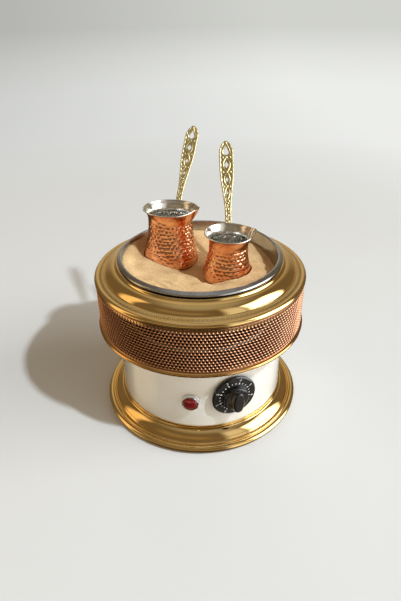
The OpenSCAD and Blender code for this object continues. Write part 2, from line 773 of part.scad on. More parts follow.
module large_pot() {
    color(copper) place_large() pot_shell(large_h, large_rim_r, large_neck_r, large_base_r, large_yaw,
        large_spout);
}
module large_handle() {
    color("#cdb35c") place_large() pot_handle(large_h, large_neck_r, large_yaw, large_tilt);
}
module large_rivets() { color(copper) place_large() pot_rivets(large_h, large_neck_r, large_yaw); }
module small_pot() {
    color(copper) place_small() pot_shell(small_h, small_rim_r, small_neck_r, small_base_r, small_yaw,
        small_spout);
}
module small_handle() {
    color("#cdb35c") place_small() pot_handle(small_h, small_neck_r, small_yaw, small_tilt);
}
module small_rivets() { color(copper) place_small() pot_rivets(small_h, small_neck_r, small_yaw); }

base_ring();
base_pan();
rubber_feet();
foot_screws();
foot_nuts();
base_screws();
base_nuts();
drum_shell();
deck_plate();
deck_screws();
deck_nuts();
trim_ring();
perforated_band();
support_ring();
spacer_tubes();
tie_rods();
tie_nuts();
top_ring();
insulation_disc();
heat_shield();
plate_pillars();
pillar_screws();
hot_plate();
heating_element();
element_clamp();
clamp_bolt();
thermostat_bulb();
thermostat_body();
thermostat_screws();
thermostat_shaft();
knob();
pilot_body();
pilot_nut();
pilot_bezel();
pilot_lens();
terminal_block();
terminal_screws();
earth_screw();
wiring();
cable_grommet();
sand_bowl();
sand();
large_pot();
large_handle();
large_rivets();
small_pot();
small_handle();
small_rivets();
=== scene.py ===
import json
import math

import bmesh
import bpy
import numpy as np
from mathutils import Matrix, Vector, geometry, noise


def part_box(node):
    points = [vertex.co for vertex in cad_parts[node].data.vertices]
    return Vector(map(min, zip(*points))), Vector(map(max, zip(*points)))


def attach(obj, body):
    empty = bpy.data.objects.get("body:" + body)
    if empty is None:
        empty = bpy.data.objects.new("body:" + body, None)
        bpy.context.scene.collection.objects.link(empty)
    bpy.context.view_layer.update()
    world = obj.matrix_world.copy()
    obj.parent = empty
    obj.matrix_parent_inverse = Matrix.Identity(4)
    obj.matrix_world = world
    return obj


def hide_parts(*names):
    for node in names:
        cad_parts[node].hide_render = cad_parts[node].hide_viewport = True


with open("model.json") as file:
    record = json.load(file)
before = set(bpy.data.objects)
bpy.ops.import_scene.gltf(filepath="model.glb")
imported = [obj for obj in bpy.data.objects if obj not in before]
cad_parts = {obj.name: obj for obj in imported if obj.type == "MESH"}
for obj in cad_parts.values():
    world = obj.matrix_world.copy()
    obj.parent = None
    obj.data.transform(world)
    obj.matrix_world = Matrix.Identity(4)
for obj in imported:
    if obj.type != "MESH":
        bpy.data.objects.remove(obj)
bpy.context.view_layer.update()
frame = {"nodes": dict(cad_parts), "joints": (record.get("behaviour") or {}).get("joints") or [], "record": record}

# An electric sand heater with two hammered copper coffee pots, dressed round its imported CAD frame.
# Lengths in this script are millimetres unless a name ends in _m; build() turns them into metres.

MM = 0.001
RECORD = frame["record"]
JOINTS = {joint["name"]: joint for joint in frame["joints"]}

# Each pot's sand_line is the height of the sand round it, by turn from the front towards the right
LARGE_POT = {
    "name": "large", "body": "large_cezve", "joint": "large_cezve_lift",
    "base_at": (-35.3, 37.9, 186.2),
    "height": 78, "rim": 35.3, "neck": 29, "base": 36.2, "yaw": 17.4, "tilt": 4.9, "spout": 23,
    "dents_round": 37, "seed": 3,
    "sand_line": ((-180, 206), (-130, 205), (-79, 202), (-52, 204.5), (-31, 202.5), (-13, 199.5),
                  (3, 195.5), (20, 191), (36, 191), (52, 192), (63, 192.5), (90, 195), (130, 200)),
}
SMALL_POT = {
    "name": "small", "body": "small_cezve", "joint": "small_cezve_lift",
    "base_at": (32.3, -16.6, 187.0),
    "height": 64, "rim": 30.1, "neck": 24.3, "base": 30.8, "yaw": 10.4, "tilt": -4.7, "spout": 4.5,
    "dents_round": 31, "seed": 8,
    "sand_line": ((-180, 199), (-130, 191), (-92, 186.5), (-70, 187.5), (-49, 192.5), (-28, 198),
                  (-4, 202.5), (23, 204), (49, 204), (63, 204.6), (90, 203), (130, 200)),
}
POTS = (LARGE_POT, SMALL_POT)
BOWL_R = 98
BOWL_CORNER = 20


# ---- Small geometry helpers ----

def cosd(degrees):
    return math.cos(math.radians(degrees))


def sind(degrees):
    return math.sin(math.radians(degrees))


def arc(centre, radius, start, stop, steps):
    """Points (radius, height) along an arc between two angles in degrees."""
    turns = np.linspace(start, stop, steps + 1)
    return [(centre[0] + radius * cosd(a), centre[1] + radius * sind(a)) for a in turns]


def turned(degrees, axis):
    return Matrix.Rotation(math.radians(degrees), 4, axis)


def box_mm(node):
    """A CAD node's lowest and highest corners in millimetres."""
    low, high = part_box(node)
    return low / MM, high / MM


def revolve(outline, segments, relief=None):
    """Points and faces of a closed outline of (radius, height) swept round +Z.
    relief(radius, height, turn) may move the points: it returns how far out and how far up."""
    outline = np.asarray(outline, float)
    count = len(outline)
    turn = np.arange(segments)[:, None] * 2 * math.pi / segments
    radius = np.repeat(outline[None, :, 0], segments, axis=0)
    height = np.repeat(outline[None, :, 1], segments, axis=0)
    if relief:
        out, up = relief(radius, height, turn)
        radius, height = radius + out, height + up
    points = np.stack([radius * np.cos(turn), radius * np.sin(turn), height], axis=2).reshape(-1, 3)
    return points, grid_faces(segments, count)


def grid_faces(rings, count, closed=True):
    """Quads between closed rings of points; if closed, the last ring joins the first."""
    step = np.arange(rings if closed else rings - 1)[:, None]
    side = np.arange(count)[None, :]
    near, far = step * count, (step + 1) % rings * count
    after = (side + 1) % count
    return np.stack([near + side, far + side, far + after, near + after], axis=2).reshape(-1, 4)


def stack_faces(rings, count):
    """Faces of a closed shape made of rings of points one after another."""
    last = (rings - 1) * count
    faces = [list(face) for face in grid_faces(rings, count, closed=False)]
    return faces + [list(range(count)), list(range(last, last + count))]


def tube(path, radii, sides, flat):
    """Closed tube along a path, with a radius at each point; flat scales its thickness along local z."""
    path = np.asarray(path, float)
    last = len(path) - 1
    points, side_axis = [], np.array([0.0, 0.0, 1.0])
    for i, centre in enumerate(path):
        along = path[min(i + 1, last)] - path[max(i - 1, 0)]
        along = along / np.linalg.norm(along)
        across = np.cross(along, side_axis)
        across = across / np.linalg.norm(across)
        lift = np.cross(across, along)
        for k in range(sides):
            a = 2 * math.pi * k / sides
            points.append(centre + radii[i] * (math.cos(a) * across + flat * math.sin(a) * lift))
    return np.array(points), stack_faces(len(path), sides)


def ellipsoid(centre, size):
    """Closed ellipsoid; size holds its three half lengths."""
    rings, sides = 8, 12
    outline = [(math.sin(math.pi * i / rings), -math.cos(math.pi * i / rings)) for i in range(rings + 1)]
    points, faces = revolve(outline, sides)
    return points * np.asarray(size, float) + np.asarray(centre, float), open_ends(faces, sides, rings + 1)


def open_ends(faces, segments, count):
    """Drops the faces that would close a revolved outline along the axis."""
    return [list(face) for face in faces.reshape(segments, count, 4)[:, :-1].reshape(-1, 4)]


def join(shapes):
    """One list of points and faces from several."""
    points, faces, start = [], [], 0
    for more_points, more_faces in shapes:
        points.append(np.asarray(more_points, float))
        faces += [[start + int(i) for i in face] for face in more_faces]
        start += len(more_points)
    return np.concatenate(points), faces


def add_object(name, data):
    """A new object in the scene."""
    made = bpy.data.objects.new(name, data)
    bpy.context.scene.collection.objects.link(made)
    return made


def take_shape(mesh):
    """Points and faces of a mesh, which is then removed."""
    points = np.array([tuple(v.co) for v in mesh.vertices])
    faces = [list(p.vertices) for p in mesh.polygons]
    bpy.data.meshes.remove(mesh)
    return points, faces


def moved(matrix, points):
    """Points in millimetres after a 4x4 matrix."""
    matrix = np.array(matrix)
    return np.asarray(points, float) @ matrix[:3, :3].T + matrix[:3, 3]


def build(name, points, faces, looks, body, replaces=(), sharp=38, face_looks=None, weld=True):
    """A closed mesh piece from points in millimetres, smooth up to a sharp angle, riding on a CAD body."""
    mesh = bpy.data.meshes.new(name)
    faces = faces.tolist() if isinstance(faces, np.ndarray) else faces
    mesh.from_pydata((np.asarray(points, float) * MM).tolist(), [], faces)
    if face_looks is not None:
        mesh.polygons.foreach_set("material_index", np.asarray(face_looks, np.int32))
    shape = bmesh.new()
    shape.from_mesh(mesh)
    if weld:
        bmesh.ops.remove_doubles(shape, verts=shape.verts, dist=1e-7)
    bmesh.ops.recalc_face_normals(shape, faces=shape.faces)
    shape.to_mesh(mesh)
    shape.free()
    for look in looks:
        mesh.materials.append(look)
    mesh.shade_smooth()
    mesh.set_sharp_from_angle(angle=math.radians(sharp))
    piece = add_object(name, mesh)
    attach(piece, body)
    if replaces:
        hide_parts(*replaces)
    return piece


def radial_matrix(turn, height):
    """Lays local +Z along the outward radius at a turn from the front, as the controls sit."""
    return turned(turn, "Z") @ Matrix.Translation((0, 0, height)) @ turned(90, "X")


def pot_matrix(pot):
    """Stands a pot on its base point, leaning along the axis of its lift joint."""
    axis = Vector(JOINTS[pot["joint"]]["axis"])
    lean = Vector((0, 0, 1)).rotation_difference(axis).to_matrix().to_4x4()
    return Matrix.Translation(pot["base_at"]) @ lean


def yawed_matrix(pot):
    """Stands a pot on its base point with its handle turned to its place."""
    return pot_matrix(pot) @ turned(-pot["yaw"], "Z")


def root_matrix(pot, lean):
    """Stands a shape where the handle's blade leaves its foot, leaning by some degrees."""
    return Matrix.Translation((0, pot["neck"] + 2.7, pot["height"] - 17)) @ turned(lean, "X")


# ---- Materials ----

class Nodes:
    """Adds linked nodes to a node tree."""

    def __init__(self, tree):
        self.tree = tree

    def feed(self, node, socket, value):
        """Links an output to a socket, or gives the socket a plain value."""
        if isinstance(value, bpy.types.NodeSocket):
            self.tree.links.new(value, node.inputs[socket])
        else:
            node.inputs[socket].default_value = value

    def node(self, kind, fed=(), **settings):
        """A new node with its settings, and with what is fed to its sockets."""
        made = self.tree.nodes.new(kind)
        for key, value in settings.items():
            setattr(made, key, value)
        for socket, value in dict(fed).items():
            self.feed(made, socket, value)
        return made

    def math(self, operation, *values):
        return self.node("ShaderNodeMath", enumerate(values), operation=operation).outputs[0]

    def scaled(self, value, factor):
        """A vector or a colour times a factor."""
        return self.node("ShaderNodeVectorMath", {0: value, "Scale": factor}, operation="SCALE").outputs[0]

    def split(self, value):
        """The three parts of a vector."""
        return self.node("ShaderNodeSeparateXYZ", {0: value}).outputs

    def span(self, value, low, high, to_low=0.0, to_high=1.0, **settings):
        """Carries a value from the range low to high into the range to_low to to_high."""
        fed = {"Value": value, "From Min": low, "From Max": high, "To Min": to_low, "To Max": to_high}
        return self.node("ShaderNodeMapRange", fed, **settings).outputs["Result"]


class Look(Nodes):
    """A Principled material whose nodes work in object space, measured in millimetres."""

    def __init__(self, name, **sockets):
        self.name = name
        self.material = bpy.data.materials.new(name)
        self.material.use_nodes = True
        super().__init__(self.material.node_tree)
        self.shader = self.tree.nodes["Principled BSDF"]
        for socket, value in sockets.items():
            self.shader.inputs[socket.replace("_", " ")].default_value = value
        self.position = self.scaled(self.node("ShaderNodeTexCoord").outputs["Object"], 1 / MM)
        self.height = None

    def noise(self, size, detail=2.0, roughness=0.5, at=None):
        """Noise from 0 to 1 with features about this many millimetres across."""
        fed = {"Vector": at or self.position, "Scale": 1 / size, "Detail": detail, "Roughness": roughness}
        return self.node("ShaderNodeTexNoise", fed).outputs["Fac"]

    def cells(self, size):
        """Distance to the middle of the nearest cell, for cells about this many millimetres across."""
        fed = {"Vector": self.position, "Scale": 1 / size}
        return self.node("ShaderNodeTexVoronoi", fed, feature="F1").outputs["Distance"]

    def reach(self, parts):
        """Distance from the axis."""
        return self.math("SQRT", self.math("ADD", self.math("POWER", parts[0], 2.0),
                                           self.math("POWER", parts[1], 2.0)))

    def spun(self, across, round_turn):
        """Position stretched round the axis, for the streaks that turning on a lathe leaves."""
        parts = self.split(self.position)
        turn = self.math("ARCTAN2", parts[1], parts[0])
        fed = {0: self.math("DIVIDE", self.reach(parts), across), 1: self.math("DIVIDE", parts[2], across),
               2: self.math("MULTIPLY", turn, round_turn)}
        return self.node("ShaderNodeCombineXYZ", fed).outputs[0]

    def ramp(self, value, stops):
        """Colours along a value, from (place, (red, green, blue)) pairs."""
        made = self.node("ShaderNodeValToRGB", {0: value})
        band = made.color_ramp
        while len(band.elements) < len(stops):
            band.elements.new(0.5)
        for element, (place, colour) in zip(band.elements, stops):
            element.position = place
            element.color = (*colour, 1.0)
        return made.outputs["Color"]

    def darkened(self, amount, tone, shade):
        """A colour multiplied by a shade."""
        fed = {0: amount, 1: tone, 2: shade}
        return self.node("ShaderNodeMixRGB", fed, blend_type="MULTIPLY").outputs[0]

    def colour(self, value):
        self.feed(self.shader, "Base Color", value)

    def roughness(self, value, low, high):
        self.feed(self.shader, "Roughness", self.span(value, 0.3, 0.7, low, high))

    def bump(self, value, depth):
        """Adds a layer of bump, depth millimetres high."""
        made = self.node("ShaderNodeBump", {"Strength": 1.0, "Distance": depth * MM, "Height": value})
        if self.height:
            self.feed(made, "Normal", self.height)
        self.height = made.outputs["Normal"]
        self.feed(self.shader, "Normal", self.height)

    def hollows(self, low, high):
        """0 in the hollows of a mesh and 1 on its raised edges."""
        return self.span(self.node("ShaderNodeNewGeometry").outputs["Pointiness"], low, high)


def brass(name, deep, light, rough, wave=0.05):
    """Metal turned on a lathe: faint waves and streaks round the axis."""
    look = Look(name, Metallic=1.0)
    look.colour(look.ramp(look.noise(38, 3), [(0.3, deep), (0.7, light)]))
    look.roughness(look.noise(26, 4, 0.6), *rough)
    look.bump(look.noise(30, 1), wave)
    look.bump(look.noise(1.0, 2, at=look.spun(0.9, 1.4)), 0.006)
    look.bump(look.noise(0.7, 2), 0.002)
    return look


def steel(name, deep, light, rough):
    """Metal brushed finely round the axis."""
    look = Look(name, Metallic=1.0)
    look.colour(look.ramp(look.noise(14, 4, 0.6), [(0.3, deep), (0.7, light)]))
    look.roughness(look.noise(1.0, 3, at=look.spun(0.35, 2.0)), *rough)
    look.bump(look.noise(1.0, 2, at=look.spun(0.35, 2.0)), 0.004)
    return look


def mottled(name, tone, stops, gloss, rough, grain, depth, painted_hollow_shade=None, **sockets):
    """Mottled colour, uneven gloss and a grain of bump: tone, gloss and grain hold the size, detail and
    roughness of a noise. painted_hollow_shade is painted shade in the hollows: an amount, two limits and a ramp."""
    look = Look(name, **sockets)
    colour = look.ramp(look.noise(*tone), stops)
    # Painted shade: the mesh's hollows, found from Pointiness, are darkened by multiplying with a ramp
    if painted_hollow_shade:
        amount, limits, shades = painted_hollow_shade
        colour = look.darkened(amount, colour, look.ramp(look.hollows(*limits), shades))
    look.colour(colour)
    look.roughness(look.noise(*gloss), *rough)
    look.bump(look.noise(*grain), depth)
    return look


def matte(name, deep, light, rough, tone, grain, depth, **sockets):
    """A plain surface with a fine grain."""
    return mottled(name, (tone, 4, 0.6), [(0.3, deep), (0.7, light)], (tone / 2, 3), rough, (grain, 3, 0.6),
                   depth, **sockets)


def zinc_sheet():
    look = Look("zinc_sheet", Metallic=1.0)
    look.colour(look.ramp(look.cells(6), [(0.1, (0.46, 0.48, 0.50)), (0.6, (0.66, 0.67, 0.68))]))
    look.roughness(look.noise(5, 4), 0.30, 0.48)
    look.bump(look.noise(0.8, 3), 0.01)
    return look


def sand_grains():
    look = Look("sand", Specular_IOR_Level=0.3)
    tone = look.ramp(look.noise(24, 5, 0.6), [(0.3, (0.76, 0.51, 0.25)), (0.7, (0.93, 0.66, 0.36))])
    grains = look.ramp(look.noise(1.7, 4, 0.8), [(0.32, (0.34, 0.25, 0.17)), (0.46, (0.90, 0.86, 0.78)),
                                                 (0.60, (1.0, 1.0, 1.0)), (0.72, (1.4, 1.4, 1.35))])
    look.colour(look.darkened(0.75, tone, grains))
    look.roughness(look.noise(1.5, 3), 0.82, 1.0)
    look.bump(look.noise(1.4, 4, 0.8), 0.6)
    return look


def wire_sleeve():
    look = Look("wire_sleeve")
    waves = look.node("ShaderNodeTexWave", {"Vector": look.position, "Scale": 0.55, "Distortion": 1.5},
                      wave_type="BANDS", bands_direction="DIAGONAL")
    weave = waves.outputs["Fac"]
    look.colour(look.ramp(weave, [(0.2, (0.28, 0.07, 0.04)), (0.8, (0.55, 0.20, 0.13))]))
    look.roughness(look.noise(3, 3), 0.7, 0.9)
    look.bump(weave, 0.12)
    return look


def red_lens():
    look = Look("red_lens", Transmission_Weight=0.25, IOR=1.49, Coat_Weight=1.0, Coat_Roughness=0.03)
    look.colour(look.ramp(look.noise(3.5, 3), [(0.3, (0.09, 0.002, 0.004)), (0.7, (0.30, 0.006, 0.012))]))
    look.roughness(look.noise(3, 2), 0.08, 0.16)
    look.bump(look.cells(2.2), 0.12)
    return look


def make_looks():
    """One material for each material slot of the record, and a few more for parts of pieces."""
    white = (1.0, 1.0, 1.0)
    looks = (
        brass("polished_brass", (0.85, 0.585, 0.22), (0.92, 0.665, 0.30), (0.025, 0.07), 0.10),
        brass("trim_brass", (0.66, 0.36, 0.12), (0.80, 0.48, 0.19), (0.07, 0.15)),
        brass("rose_brass", (0.52, 0.26, 0.15), (0.68, 0.37, 0.22), (0.16, 0.28), 0.02),
        brass("capillary_copper", (0.62, 0.28, 0.14), (0.80, 0.44, 0.26), (0.2, 0.35), 0.01),
        brass("rivet_copper", (0.70, 0.30, 0.13), (0.86, 0.44, 0.24), (0.2, 0.3), 0.01),
        steel("fastener_steel", (0.42, 0.42, 0.43), (0.62, 0.62, 0.63), (0.25, 0.42)),
        steel("bright_steel", (0.40, 0.41, 0.43), (0.58, 0.59, 0.61), (0.14, 0.26)),
        # stained_steel is painted shade: near black steel for the pieces seen through the band's holes
        steel("stained_steel", (0.035, 0.03, 0.028), (0.09, 0.075, 0.06), (0.5, 0.7)),
        steel("bezel_chrome", (0.62, 0.63, 0.65), (0.76, 0.77, 0.79), (0.05, 0.12)),
        # chased_brass, hammered_copper and cast_brass end with painted shade: the hollows of their meshes are
        # darkened by a ramp
        mottled("chased_brass", (24, 3), [(0.3, (0.86, 0.64, 0.30)), (0.7, (0.95, 0.78, 0.44))],
                (5, 4, 0.6), (0.16, 0.30), (0.8, 3), 0.03, (1.0, (0.42, 0.56), [(0.0, (0.22, 0.13, 0.05)),
                (0.5, (0.75, 0.66, 0.50)), (0.8, white)]), Metallic=1.0),
        mottled("hammered_copper", (15, 4, 0.6), [(0.3, (0.80, 0.33, 0.17)), (0.52, (0.93, 0.48, 0.28)),
                (0.75, (0.97, 0.63, 0.41))], (7, 4, 0.6), (0.08, 0.19), (1.1, 3), 0.02, (0.85, (0.43, 0.55),
                [(0.0, (0.36, 0.20, 0.16)), (0.45, (0.90, 0.84, 0.80)), (1.0, white)]), Metallic=1.0),
        mottled("cast_brass", (9, 3), [(0.3, (0.90, 0.80, 0.43)), (0.7, (0.98, 0.92, 0.62))], (4, 4, 0.6),
                (0.20, 0.38), (0.9, 3), 0.03, (0.9, (0.40, 0.55), [(0.0, (0.42, 0.33, 0.15)),
                (0.5, (0.95, 0.94, 0.90)), (1.0, white)]), Metallic=1.0),
        mottled("tinned_copper", (9, 4, 0.6), [(0.3, (0.76, 0.75, 0.71)), (0.7, (0.94, 0.93, 0.90))],
                (5, 4, 0.6), (0.14, 0.32), (2.2, 3), 0.03, Metallic=1.0),
        mottled("element_sheath", (20, 4, 0.6), [(0.3, (0.16, 0.13, 0.15)), (0.5, (0.30, 0.25, 0.20)),
                (0.75, (0.42, 0.38, 0.34))], (4, 4), (0.38, 0.6), (0.9, 3), 0.03, Metallic=1.0),
        mottled("enamel", (60, 3), [(0.3, (0.76, 0.735, 0.67)), (0.7, (0.81, 0.79, 0.73))], (22, 3),
                (0.16, 0.24), (3.2, 2), 0.012, Coat_Weight=0.6, Coat_Roughness=0.05),
        mottled("mineral_wool", (5, 6, 0.7), [(0.3, (0.60, 0.55, 0.42)), (0.7, (0.82, 0.79, 0.68))], (4, 3),
                (0.9, 1.0), (1.6, 6, 0.8), 0.6),
        matte("black_rubber", (0.012, 0.012, 0.013), (0.03, 0.03, 0.03), (0.6, 0.8), 9, 0.8, 0.05),
        matte("cast_plate", (0.035, 0.035, 0.037), (0.08, 0.08, 0.082), (0.5, 0.7), 11, 1.2, 0.12,
              Metallic=0.6),
        matte("ceramic_cream", (0.64, 0.59, 0.46), (0.78, 0.74, 0.62), (0.55, 0.75), 12, 1.0, 0.06),
        matte("knob_black", (0.004, 0.004, 0.0045), (0.009, 0.009, 0.0095), (0.12, 0.22), 8, 0.6, 0.010,
              Coat_Weight=0.4, Coat_Roughness=0.08),
        matte("black_plastic", (0.015, 0.015, 0.016), (0.035, 0.035, 0.036), (0.4, 0.6), 8, 0.7, 0.03),
        matte("dial_paint", (0.74, 0.75, 0.76), (0.88, 0.89, 0.90), (0.5, 0.6), 3, 0.5, 0.01),
        zinc_sheet(), sand_grains(), wire_sleeve(), red_lens(),
    )
    return {look.name: look.material for look in looks}


# Steel pieces behind the perforated band, painted near black: painted shade, so the band's holes look dark
SHADED_BEHIND_BAND = ("heat_shield", "deck_plate", "support_ring", "spacer_tubes", "deck_screws", "tie_rods", "tie_nuts")


def dress_frame(looks):
    """Gives every CAD node the material of its slot; the steel behind the band gets painted shade, a near black
    steel.
    """
    for part in RECORD["subparts"]:
        look = "stained_steel" if part["node"] in SHADED_BEHIND_BAND else part["material_slot"]
        for holder in frame["nodes"][part["node"]].material_slots:
            holder.material = looks[look]


# ---- Spun housing ----

def base_ring_outline():
    high = box_mm("base_ring")[1]
    roll = (high.x - 4.2, 5.7)
    band = (high.x - 30.1, 1.9)
    seat = high.z
    foot = seat - 2.2
    return (arc(roll, 4.2, -90, 108, 20) + [(129.7, 9.3)] + arc((128.1, 9.7), 1.5, 5, 150, 8)
            + [(126.4, 10.1)] + arc(band, 21.8, 23, 34, 6) + [(123.3, 13.7), (123.0, 14.3)]
            + arc(band, 21.6, 35.5, 64, 12) + [(114.9, 21.2), (114.3, 21.3), (113.7, 22.6), (112.5, 23.2),
            (112.5, seat - 0.6), (112.3, seat - 0.15), (111.9, seat), (111.4, seat), (111.2, seat - 0.3),
            (111.2, foot), (104, foot), (104, foot - 1.2), (111, foot - 1.2)]
            + arc(band, 20.7, 72, 24, 16) + [(127.4, 8.7), (129.2, 8.4)] + arc(roll, 3.1, 112, -90, 14))


def top_ring_outline():
    high = box_mm("top_ring")[1]
    roll = (high.x - 4, high.z - 18.5)
    dome = (high.x - 28.1, high.z - 18.05)
    collar = high.z
    return ([(132, 185.7), (133.1, 185.7), (133.1, 191.8)] + arc(roll, 4, -58, 98, 20)
            + [(129.9, 199.0), (129.5, 198.75), (122.9, 200.25), (122.4, 200.7), (121.9, 200.2)]
            + arc(dome, 15.2, 19.8, 82, 22)
            + [(108.0, collar - 2.6), (107.3, collar - 1.9), (106.8, collar - 1.0), (106.3, collar - 0.35),
               (105.6, collar), (101, collar), (101, collar - 1.1), (105.4, collar - 1.1),
               (106.5, collar - 4)]
            + arc(dome, 14.1, 85, 17, 16) + [(122.2, 199.2), (129.6, 197.7)] + arc(roll, 2.9, 98, -40, 12)
            + [(132, 192.4)])


def trim_ring_outline():
    low, high = box_mm("trim_ring")
    bead = (high.x - 2.6, low.z + 1.75)
    return ([(120.5, low.z), (133.15, low.z)] + arc(bead, 2.6, -100, 75, 18)
            + [(133.15, 132), (133.15, 135), (131.9, 135), (131.9, low.z + 1.1), (120.5, low.z + 1.1)])


def bowl_outline():
    low, high = box_mm("sand_bowl")
    lip = high.z - 2.4
    corner_at = (BOWL_R - BOWL_CORNER, low.z + 1 + BOWL_CORNER)
    return ([(0, low.z + 1)] + arc(corner_at, BOWL_CORNER, -90, 0, 16) + [(BOWL_R, lip + 2.2)]
            + arc((BOWL_R + 2, lip + 2.2 - 0.1), 2, 172, 68, 10)
            + [(103.6, lip + 2.2), (104.3, lip + 1.8), (104.8, lip + 1.1), (104.8, lip), (103.7, lip),
               (100.6, lip + 2.5), (99.6, lip + 2.2), (99, lip + 1)]
            + arc(corner_at, BOWL_CORNER + 1, 0, -90, 16) + [(0, low.z)])


def chased_band():
    """The narrow band of small chased leaves between the top ring's rolled edge and its dome."""
    inner, outer = 122.9, 129.5
    leaf_pitch = 5.4
    depth = 0.55
    steps = 14
    across = np.linspace(0, 1, steps + 1)
    top = [(inner + (outer - inner) * t, 200.30 - 1.50 * t) for t in across]
    outline = top + [(outer, 198.3), (inner, 199.8)]

    def relief(radius, height, turn):
        along = turn * (inner + outer) / 2 * 2 * math.pi / leaf_pitch
        side = (radius - (inner + outer) / 2) / (outer - inner) * 2
        slant = 2.1 * side
        leaf = np.clip(np.cos(along + slant), 0, 1) * np.clip(np.cos(along - slant), 0, 1)
        dot = np.clip(np.cos(along + math.pi) - 0.55, 0, 1) * np.clip(1 - (side * 1.6) ** 2, 0, 1) * 1.6
        edge = np.clip((1 - np.abs(side)) * 5, 0, 1)
        shown = np.arange(radius.shape[1])[None, :] <= steps
        return 0 * radius, np.where(shown, depth * edge * (leaf + dot), 0)

    return revolve(outline, 1176, relief)


def spin_housing(looks):
    """The turned rings and the bowl, and the chased band on the top ring."""
    def spin(node, outline, segments, look, body="housing"):
        points, faces = revolve(outline, segments)
        build(node + "_spun", points, faces, [looks[look]], body, [node])

    spin("base_ring", base_ring_outline(), 384, "polished_brass")
    spin("top_ring", top_ring_outline(), 384, "polished_brass")
    points, faces = chased_band()
    build("top_ring_chasing", points, faces, [looks["chased_brass"]], "housing", sharp=70)
    spin("trim_ring", trim_ring_outline(), 384, "trim_brass")
    spin("sand_bowl", bowl_outline(), 320, "bright_steel", "bowl")


# ---- Perforated band ----

def perforate_band(looks):
    """A thin cylinder with staggered round holes: each hole sits in a six-sided cell of the sheet,
    and the sheet is a little raised where three cells meet."""
    low, high = box_mm("perforated_band")
    radius, sheet, columns, rows = high.x, 0.6, 190, 14
    hole, lip, swell, corners, sides = 1.60, 0.42, 0.30, 6, 12
    pitch = 2 * math.pi * radius / columns
    rise = 4.05
    first = low.z + 3.4
    tall = ((pitch / 2) ** 2 + rise ** 2) / (2 * rise)
    short = rise - tall
    half = pitch / 2
    cell = [(half, -short), (half, short), (0, tall), (-half, short), (-half, -short), (0, -tall)]
    points, index, faces = [], {}, []

    def point(along, height, depth, raised=0.0):
        key = (round(along / pitch * 8) % (columns * 8), round(height * 50), round(depth * 50))
        if key not in index:
            turn = along / radius
            out = radius - swell - depth + raised
            index[key] = len(points)
            points.append((out * math.cos(turn), out * math.sin(turn), height))
        return index[key]

    def hole_ring(along, height, depth, inset):
        start = len(points)
        for k in range(sides):
            angle = math.radians(-30 + 360 * k / sides)
            reach = hole + inset
            turn = (along + reach * math.cos(angle)) / radius
            out = radius - swell - depth
            points.append((out * math.cos(turn), out * math.sin(turn), height + reach * math.sin(angle)))
        return [start + k for k in range(sides)]

    for row in range(rows):
        height = first + rise * row
        for column in range(columns):
            along = pitch * (column + 0.5 * (row % 2))
            front = [point(along + x, height + z, 0, swell) for x, z in cell]
            back = [point(along + x, height + z, sheet - swell) for x, z in cell]
            edge_ring = hole_ring(along, height, 0.04, lip)
            throat = hole_ring(along, height, 0.40, 0.0)
            for k in range(corners):
                after = (k + 1) % corners
                a, b, c = 2 * k, 2 * k + 1, (2 * k + 2) % sides
                faces.append([front[k], front[after], edge_ring[c], edge_ring[b], edge_ring[a]])
                faces.append([back[after], back[k], throat[a], throat[b], throat[c]])
            for k in range(sides):
                after = (k + 1) % sides
                faces.append([edge_ring[k], edge_ring[after], throat[after], throat[k]])
    for last, edge in ((0, low.z), (rows - 1, high.z)):
        height = first + rise * last
        sign = -1 if last == 0 else 1
        for column in range(columns):
            middle = pitch * (column + 0.5 * (last % 2))
            across = [(-half, sign * short), (0, sign * tall), (half, sign * short)]
            for (x0, z0), (x1, z1) in zip(across, across[1:]):
                x0, x1, z0, z1 = middle + x0, middle + x1, height + z0, height + z1
                for depth, raised in ((0, swell), (sheet - swell, 0)):
                    faces.append([point(x0, z0, depth, raised), point(x1, z1, depth, raised),
                                  point(x1, edge, depth), point(x0, edge, depth)])
                faces.append([point(x0, edge, 0), point(x1, edge, 0), point(x1, edge, sheet - swell),
                              point(x0, edge, sheet - swell)])
    build("perforated_band_sheet", np.array(points), faces, [looks["rose_brass"]], "housing",
          ["perforated_band"], sharp=62, weld=False)


# ---- Controls ----

def control_turn(node):
    """Turn from the front and height of a control's middle."""
    low, high = box_mm(node)
    middle = (low + high) / 2
    return math.degrees(math.atan2(middle.x, -middle.y)), middle.z


def grip_section(half_width, half_length, power, count=48):
    """One level of the knob's grip: a long shape between an oval and a rectangle."""
    points = []
    for i in range(count):
        a = 2 * math.pi * i / count
        across, along = abs(math.cos(a) / half_width), abs(math.sin(a) / half_length)
        reach = (across ** power + along ** power) ** (-1 / power)
        points.append((reach * math.cos(a), reach * math.sin(a)))
    return points


def loft(levels, heights):
    """Closed shape through outlines of equal length at rising heights."""
    points = [(x, y, z) for level, z in zip(levels, heights) for x, y in level]
    return np.array(points), stack_faces(len(levels), len(levels[0]))


